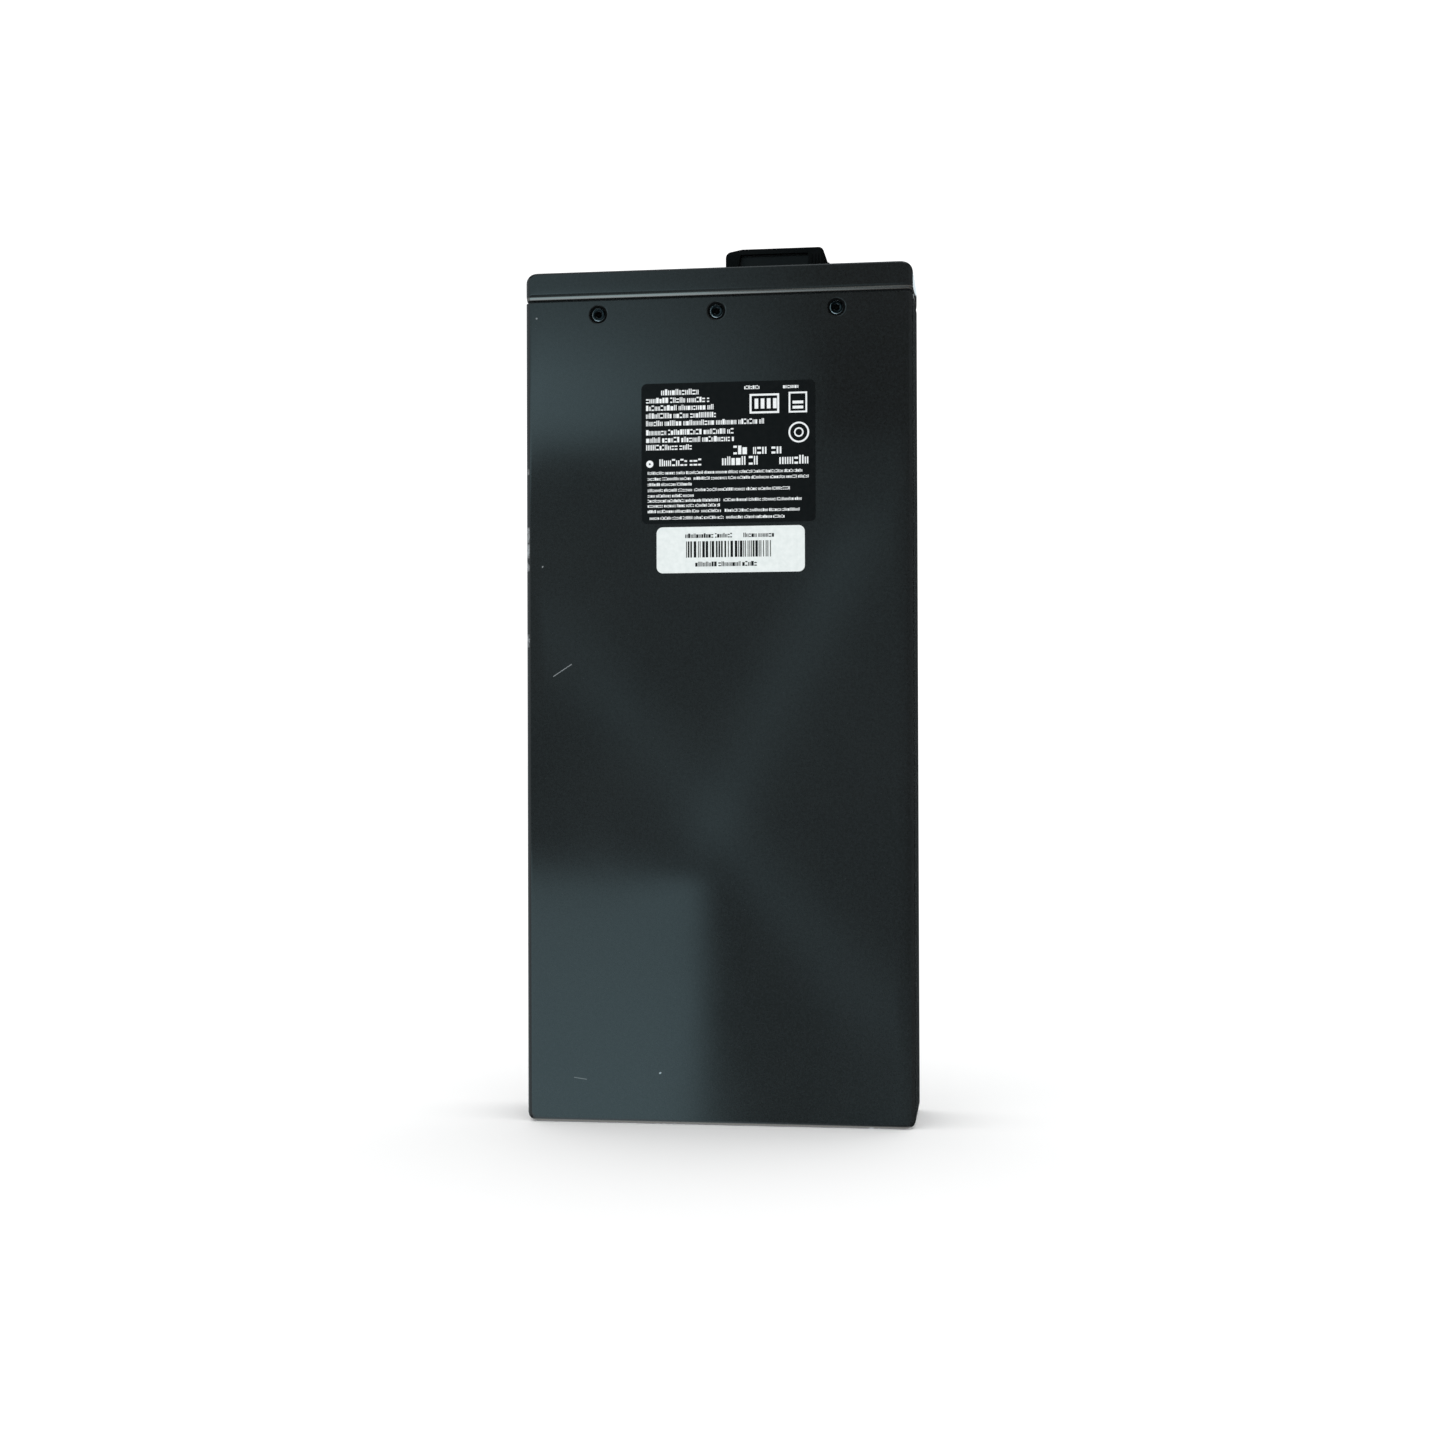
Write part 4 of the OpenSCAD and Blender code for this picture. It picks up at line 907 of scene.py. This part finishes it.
poles = [(button_x, 0, foot), (button_x, 0, top - DISH_DEPTH)]
button = make_piece("status_button_key", np.vstack([rings, poles]), closed_faces(len(section), BUTTON_STEPS),
                    "button", ["status_button"])
sharp_edges(outward(button), 50)
button.data.materials.append(FINISHES["button_rubber"])
print("button stands proud by", round(top - cap_top, 2), "mm")

# %% [markdown]
# ## The button's spring
# A round wire bent into a helix: a circle of the wire's radius carried along the coil. The share of
# its height that it would keep over the button's travel is worked out and printed.

# %% The spring
spring_lo, spring_hi = box_mm("button_spring")
WIRE_R, COIL_TURNS, COIL_STEPS, WIRE_STEPS = 0.25, 3.5, 141, 10
coil_r = (spring_hi[0] - spring_lo[0]) / 2 - WIRE_R
low_end, high_end = spring_lo[2] + WIRE_R, spring_hi[2] - WIRE_R
t = np.linspace(0, 1, COIL_STEPS)
angle = (2 * math.pi * COIL_TURNS * t)[:, None]
ring_a = np.linspace(0, 2 * math.pi, WIRE_STEPS, endpoint=False)
lift = np.clip((t - 0.1) / 0.8, 0, 1) * (high_end - low_end) + low_end
out = coil_r + WIRE_R * np.cos(ring_a)
coil = np.stack([button_x + out * np.cos(angle), out * np.sin(angle),
                 lift[:, None] + WIRE_R * np.sin(ring_a)], -1)
ends = np.array([coil[0].mean(0), coil[-1].mean(0)])
spring = outward(make_piece("button_spring_coil", np.vstack([coil.reshape(-1, 3), ends]),
                            closed_faces(COIL_STEPS, WIRE_STEPS),
                            stands_for=["button_spring"]))
spring.data.materials.append(FINISHES["stainless_steel"])
TRAVEL = 1.2
keep = 1 - TRAVEL / (spring_hi[2] - spring_lo[2])
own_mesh(spring)
print("spring keeps", round(keep, 3), "of its height")

# %% [markdown]
# ## Pouch cells
# A pouch cell is a stack of electrode sheets in a foil bag: flat in the middle, rounded to the sealed
# edge, with the side seams folded flat against it and a flat sealed strip, the terrace, under the
# tabs. The bag is two sheets over the same grid, mirrored about the middle plane. Its half thickness
# is one number along the width times one along the height, each a quarter circle near the edge.

# %% One pouch
def edge_lines(half, soft, inner=9):
    """Grid lines across a pouch: close together over the rounded edge, wide in the flat middle."""
    a = np.linspace(0, math.pi / 2, 7)[:-1]
    near = half - soft + soft * np.cos(a)
    return np.concatenate([-near, np.linspace(-half + soft, half - soft, inner), near[::-1]])


def crown(s, half, soft):
    """1 in the flat middle, falling along a quarter circle over the last soft millimetres."""
    into = np.clip((np.abs(s) - (half - soft)) / soft, 0, 1)
    return np.sqrt(np.clip(1 - into ** 2, 0, 1))


def pouch(name, node_name, seed):
    """Two mirrored crowned sheets, the terrace above them and the two folded seams at the sides."""
    lo, hi = box_mm(node_name)
    half_x, soft, seam_out, terrace = hi[0] - 0.9, 2.6, 0.9, 7.0
    thick, middle = hi[1] - lo[1], (hi[1] + lo[1]) / 2
    half_z = (hi[2] - terrace - lo[2]) / 2
    centre_z = lo[2] + half_z
    u, v = edge_lines(half_x, soft), edge_lines(half_z, soft, 13)
    x, z = np.meshgrid(u, v, indexing="ij")
    grow = crown(x, half_x, soft) * crown(z, half_z, soft)
    draw = np.random.default_rng(seed)
    phase = draw.uniform(0, 6.3, 3)
    wave = 1 + np.sin(x / 3.1 + phase[0] + np.sin(z / 7 + phase[1]))
    wrinkle = 0.06 * wave * (1 - crown(z, half_z, 9) ** 2)
    half_y = np.maximum(thick / 2 * grow - wrinkle * grow, 0)
    rows, columns = x.shape
    front = np.stack([x, middle - half_y, centre_z + z], -1).reshape(-1, 3)
    back = np.stack([x, middle + half_y, centre_z + z], -1).reshape(-1, 3)
    sheet = grid_faces(rows, columns, wrap_columns=False)
    side_low, side_high = lo[2] + 6, lo[2] + 2 * half_z - 6
    seam_low, seam_high = lo[1] + 0.05 * thick, lo[1] + 0.55 * thick
    lows = [(-half_x + 5, middle - 0.2, hi[2] - terrace - 1), (half_x - 0.1, seam_low, side_low),
            (-half_x - seam_out, seam_low, side_low)]
    highs = [(half_x - 5, middle + 0.2, hi[2]), (half_x + seam_out, seam_high, side_high),
             (-half_x + 0.1, seam_high, side_high)]
    strips, strip_faces = boxes(lows, highs, 2 * len(front))
    faces = np.vstack([sheet, sheet[:, ::-1] + len(front), strip_faces])
    piece = outward(make_piece(name, np.vstack([front, back, strips]), faces,
                               stands_for=[node_name]))
    piece.data.materials.append(FINISHES["pouch_film"])
    return sharp_edges(piece, 50)


for i in range(1, 9):
    pouch(f"pouch_{i}", f"cell_{i}", 20 + i)

# %% [markdown]
# ## Foam
# Thin foam sheets lie between the cells and one thicker pad lies on the floor of the can. Cut foam
# has soft edges, and it bulges a little between the places where it is pressed. Each is a slab whose
# outline is carried over a round edge, closed by a fan on both faces.

# %% Foam sheets and pad
FOAM_EDGE, FOAM_GAP = 0.9, 0.02


def foam_slab(lo, hi, radius, across):
    """Points and faces of a slab with round edges; across is its thin direction, 1 for Y or 2 for Z."""
    lo, hi = np.asarray(lo, float), np.asarray(hi, float)
    wide = 2 if across == 1 else 1
    half = (hi - lo) / 2
    middle = (hi + lo) / 2
    soft = min(half[across], radius)
    a = np.linspace(-math.pi / 2, math.pi / 2, 7)
    levels = [(math.copysign(half[across] - soft, s) + soft * s if abs(s) > 1e-9 else 0.0,
               half[0] - soft * (1 - c), half[wide] - soft * (1 - c), 1.5)
              for s, c in zip(np.sin(a), np.cos(a))]
    marks = outline_marks(np.linspace(-1, 1, 5), np.linspace(-1, 1, 5))
    shape = carried_outline(marks, levels)
    flat = np.vstack([shape.reshape(-1, 3), [[0, 0, -half[across]], [0, 0, half[across]]]])
    points = np.empty_like(flat)
    points[:, 0], points[:, wide], points[:, across] = flat[:, 0], flat[:, 1], flat[:, 2]
    return points + middle, closed_faces(*shape.shape[:2])


def foam_piece(name, slabs_wanted, node_name):
    """Several foam slabs as one piece that stands for a design node."""
    points, faces = [], []
    for lo, hi, across in slabs_wanted:
        more, more_faces = foam_slab(lo, hi, FOAM_EDGE, across)
        faces += [face + sum(len(p) for p in points) for face in more_faces]
        points.append(more)
    piece = outward(make_piece(name, np.vstack(points), faces, stands_for=[node_name]))
    piece.data.materials.append(FINISHES["foam"])
    return piece


pad_lo, pad_hi = box_mm("foam_pads")
between_cells = []
for first in (1, 2, 3, 5, 6, 7):
    (_, _, low_z), (_, front_y, high_z) = box_mm(f"cell_{first}")
    back_y = box_mm(f"cell_{first + 1}")[0][1]
    between_cells.append(((pad_lo[0], front_y + FOAM_GAP, low_z + 3),
                          (pad_hi[0], back_y - FOAM_GAP, high_z - 10), 1))
foam_piece("foam_sheets", between_cells, "foam_pads")
foam_piece("foam_floor_pad", [(*box_mm("bottom_pad"), 2)], "bottom_pad")
print("foam sheets:", len(between_cells) + 1)

# %% Finishes of the design parts that keep their own shape
for node_name, part in frame["nodes"].items():
    if part.hide_render:
        continue
    part.data.materials.clear()
    part.data.materials.append(FINISHES[slot_of[node_name]])
kept = [n for n, part in frame["nodes"].items() if not part.hide_render]
print("design parts shown as they are:", len(kept), kept)

# %% [markdown]
# ## Floor, surroundings and light
# The studio is a pale floor in an even white light. The glossy reflections come from cards that only
# glossy rays can see, so the sheen on the paint can be placed without changing the light on the
# floor. The card in front is painted the way a studio's screens would stand: one lit screen
# upper left that dims to the right, one lower left with a straight right edge, and two faint stripes.
# The low cards face the can's base edge and the cards behind face the cap's right end.

# %% World and floor
scene = bpy.context.scene
scene.view_settings.view_transform = "Standard"
scene.view_settings.look = "None"
world = bpy.data.worlds.new("studio_surround")
scene.world = world
world.use_nodes = True
plug(world.node_tree, world.node_tree.nodes["Background"], {"Color": (1, 1, 1, 1), "Strength": 1.18})
world.cycles_visibility.glossy = False


def stage_panel(name, low, high, material, camera=False, diffuse=False, glossy=True):
    """A flat panel that isn't part of the object, between two opposite corners in millimetres."""
    low, high = np.array(low, float), np.array(high, float)
    along = np.arange(3) == np.flatnonzero(low != high)[0]
    corners = np.array([low, np.where(along, high, low), high, np.where(along, low, high)])
    mesh = bpy.data.meshes.new(name)
    mesh.from_pydata((corners * mm).tolist(), [], [[0, 1, 2, 3]])
    mesh.materials.append(material)
    panel = bpy.data.objects.new(name, mesh)
    scene.collection.objects.link(panel)
    panel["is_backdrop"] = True
    panel.visible_camera, panel.visible_diffuse, panel.visible_glossy = camera, diffuse, glossy
    panel.visible_shadow, panel.visible_transmission = False, False
    return panel


floor_finish, tree, shader, place = start_finish("pale_studio_floor")
paper = node(tree, "TexNoise", {"Vector": place, "Scale": size(300), "Detail": 2.0}).outputs[0]
pale = blend_colour(tree, paper, linear("#F8F9F9"), linear("#FCFCFC"))
plug(tree, shader, {"Base Color": pale, "Roughness": 0.9, "Specular IOR Level": 0.0})
FAR = 9000
stage_panel("studio_floor", (-FAR, -FAR, 0), (FAR, FAR, 0), floor_finish, camera=True, diffuse=True,
            glossy=False)

# %% Reflection cards
def glow(name, strength, colour):
    """A material that only gives light, evenly."""
    made = bpy.data.materials.new(name)
    made.use_nodes = True
    tree = made.node_tree
    tree.nodes.remove(tree.nodes["Principled BSDF"])
    light = node(tree, "Emission", {"Color": colour, "Strength": strength})
    tree.links.new(light.outputs[0], tree.nodes["Material Output"].inputs["Surface"])
    return made, tree, light


COOL, SOFT_COOL = (0.56, 0.86, 0.96, 1.0), (0.74, 0.91, 1.0, 1.0)
PALE, NEUTRAL = (0.85, 0.95, 1.0, 1.0), (0.93, 0.97, 1.0, 1.0)
CARD_Y = -700.0
screen, tree, light = glow("front_screens", 1.0, COOL)
split = node(tree, "SeparateXYZ", {0: node(tree, "TexCoord").outputs["Object"]}).outputs
upper = between(tree, split[2], 0.336, 0.356)
fade = between(tree, split[0], -0.216, -0.012, 1.0, 0.0)
top_dim = between(tree, split[2], 0.392, 0.441, 1.0, 0.5)
lower_z = between(tree, split[2], 0.034, 0.047, 1.0, 0.0)
lower_x = between(tree, split[0], -0.115, -0.094, 1.0, 0.0)
lower_rise = between(tree, split[2], -0.12, 0.0, 1.25, 1.0)
corner_z = between(tree, split[2], -0.13, 0.0, 1.0, 0.0)
corner_x = between(tree, split[0], -0.04, 0.05, 0.0, 1.0)


def beam(start, end, half_width, low_z, high_z):
    """A soft stripe along a line in the card's plane: full on the line, gone at half_width from it."""
    along = np.array(end, float) - np.array(start, float)
    across = np.array([along[1], -along[0]]) / np.hypot(*along)
    x_part = node(tree, "Math", {0: split[0], 1: across[0], 2: -float(across @ start)},
                  operation="MULTIPLY_ADD").outputs[0]
    away = node(tree, "Math", {0: split[2], 1: across[1], 2: x_part}, operation="MULTIPLY_ADD").outputs[0]
    away = node(tree, "Math", {0: away}, operation="ABSOLUTE").outputs[0]
    return product(tree, between(tree, away, 0.0, half_width, 1.0, 0.0),
                   between(tree, split[2], low_z, low_z + 0.04),
                   between(tree, split[2], high_z - 0.04, high_z, 1.0, 0.0))


even = product(tree, between(tree, upper, 0.0, 1.0, 1.0, 0.0), between(tree, split[0], 0.05, 0.13, 1.0, 0.3))
falling = beam((-0.2266, 0.2332), (-0.0961, 0.0793), 0.030, -0.09, 0.26)
rising = beam((-0.0111, 0.2473), (-0.0961, 0.0793), 0.028, 0.04, 0.31)
total = product(tree, upper, fade, top_dim, 1.68)
for part in (product(tree, lower_z, lower_x, lower_rise, 1.24), product(tree, corner_z, corner_x, 0.2),
             product(tree, even, 0.17), product(tree, falling, 0.34), product(tree, rising, 0.42)):
    total = node(tree, "Math", {0: total, 1: part}, operation="ADD").outputs[0]
tree.links.new(total, light.inputs["Strength"])
stage_panel("card_front", (-900, CARD_Y, -170), (900, CARD_Y, 900), screen)
low_screen, tree, light = glow("low_screens", 1.0, SOFT_COOL)
split = node(tree, "SeparateXYZ", {0: node(tree, "TexCoord").outputs["Object"]}).outputs
to_right = between(tree, split[0], -0.17, 0.02, 1.0, 0.13)
tree.links.new(product(tree, to_right, 1.45), light.inputs["Strength"])
stage_panel("card_low", (-900, CARD_Y, -1500), (900, CARD_Y, -170), low_screen)
stage_panel("card_under", (-900, CARD_Y, -1500), (900, 0, -1500), low_screen)
stage_panel("card_base", (-70, -20.4, -0.5), (69, 20.4, -0.5), glow("card_base_light", 0.9, NEUTRAL)[0])
CARDS = {"card_left": (0.6, (-900, -700, -400), (-900, 700, 900)),
         "card_right": (0.1, (900, -700, -400), (900, 600, 900)),
         "card_top": (0.8, (-900, -700, 1500), (900, 700, 1500)),
         "card_back": (0.5, (-1200, 1000, -400), (0, 1000, 1200)),
         "card_back_right": (1.3, (60, 1000, 519), (160, 1000, 542)),
         "card_back_low": (0.03, (60, 1000, -400), (420, 1000, 519))}
for name, (strength, low, high) in CARDS.items():
    stage_panel(name, low, high, glow(name + "_light", strength, PALE)[0])
print("reflection cards:", 4 + len(CARDS))

# %% [markdown]
# ## The camera
# The camera stands level with the middle of the pack and a little to its right, so the label face is
# almost square on and a sliver of the right side shows.

# %% Camera
camera_data = bpy.data.cameras.new("studio_camera")
camera_data.lens, camera_data.sensor_width = 49.92, 36.0
camera = bpy.data.objects.new("studio_camera", camera_data)
scene.collection.objects.link(camera)
scene.camera = camera
ahead = Vector((-0.1350, 0.9909, 0.0071)).normalized()
right = ahead.cross(Vector((0.004, -0.0063, 1.0))).normalized()
up = right.cross(ahead).normalized()
turned_to = Matrix((right, up, -ahead)).transposed().to_4x4()
camera.matrix_world = Matrix.Translation(Vector((98.4, -729.3, 138.8)) * mm) @ turned_to
camera_data.clip_start, camera_data.clip_end = 0.01, 50
print("camera at", [round(c, 4) for c in camera.location])

# %% Sizes, then the end
shown_box = [list(corner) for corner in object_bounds()]
change = [[round((b - a) / mm, 3) for a, b in zip(p, q)] for p, q in zip(cad_box, shown_box)]
print("box change in mm:", change)
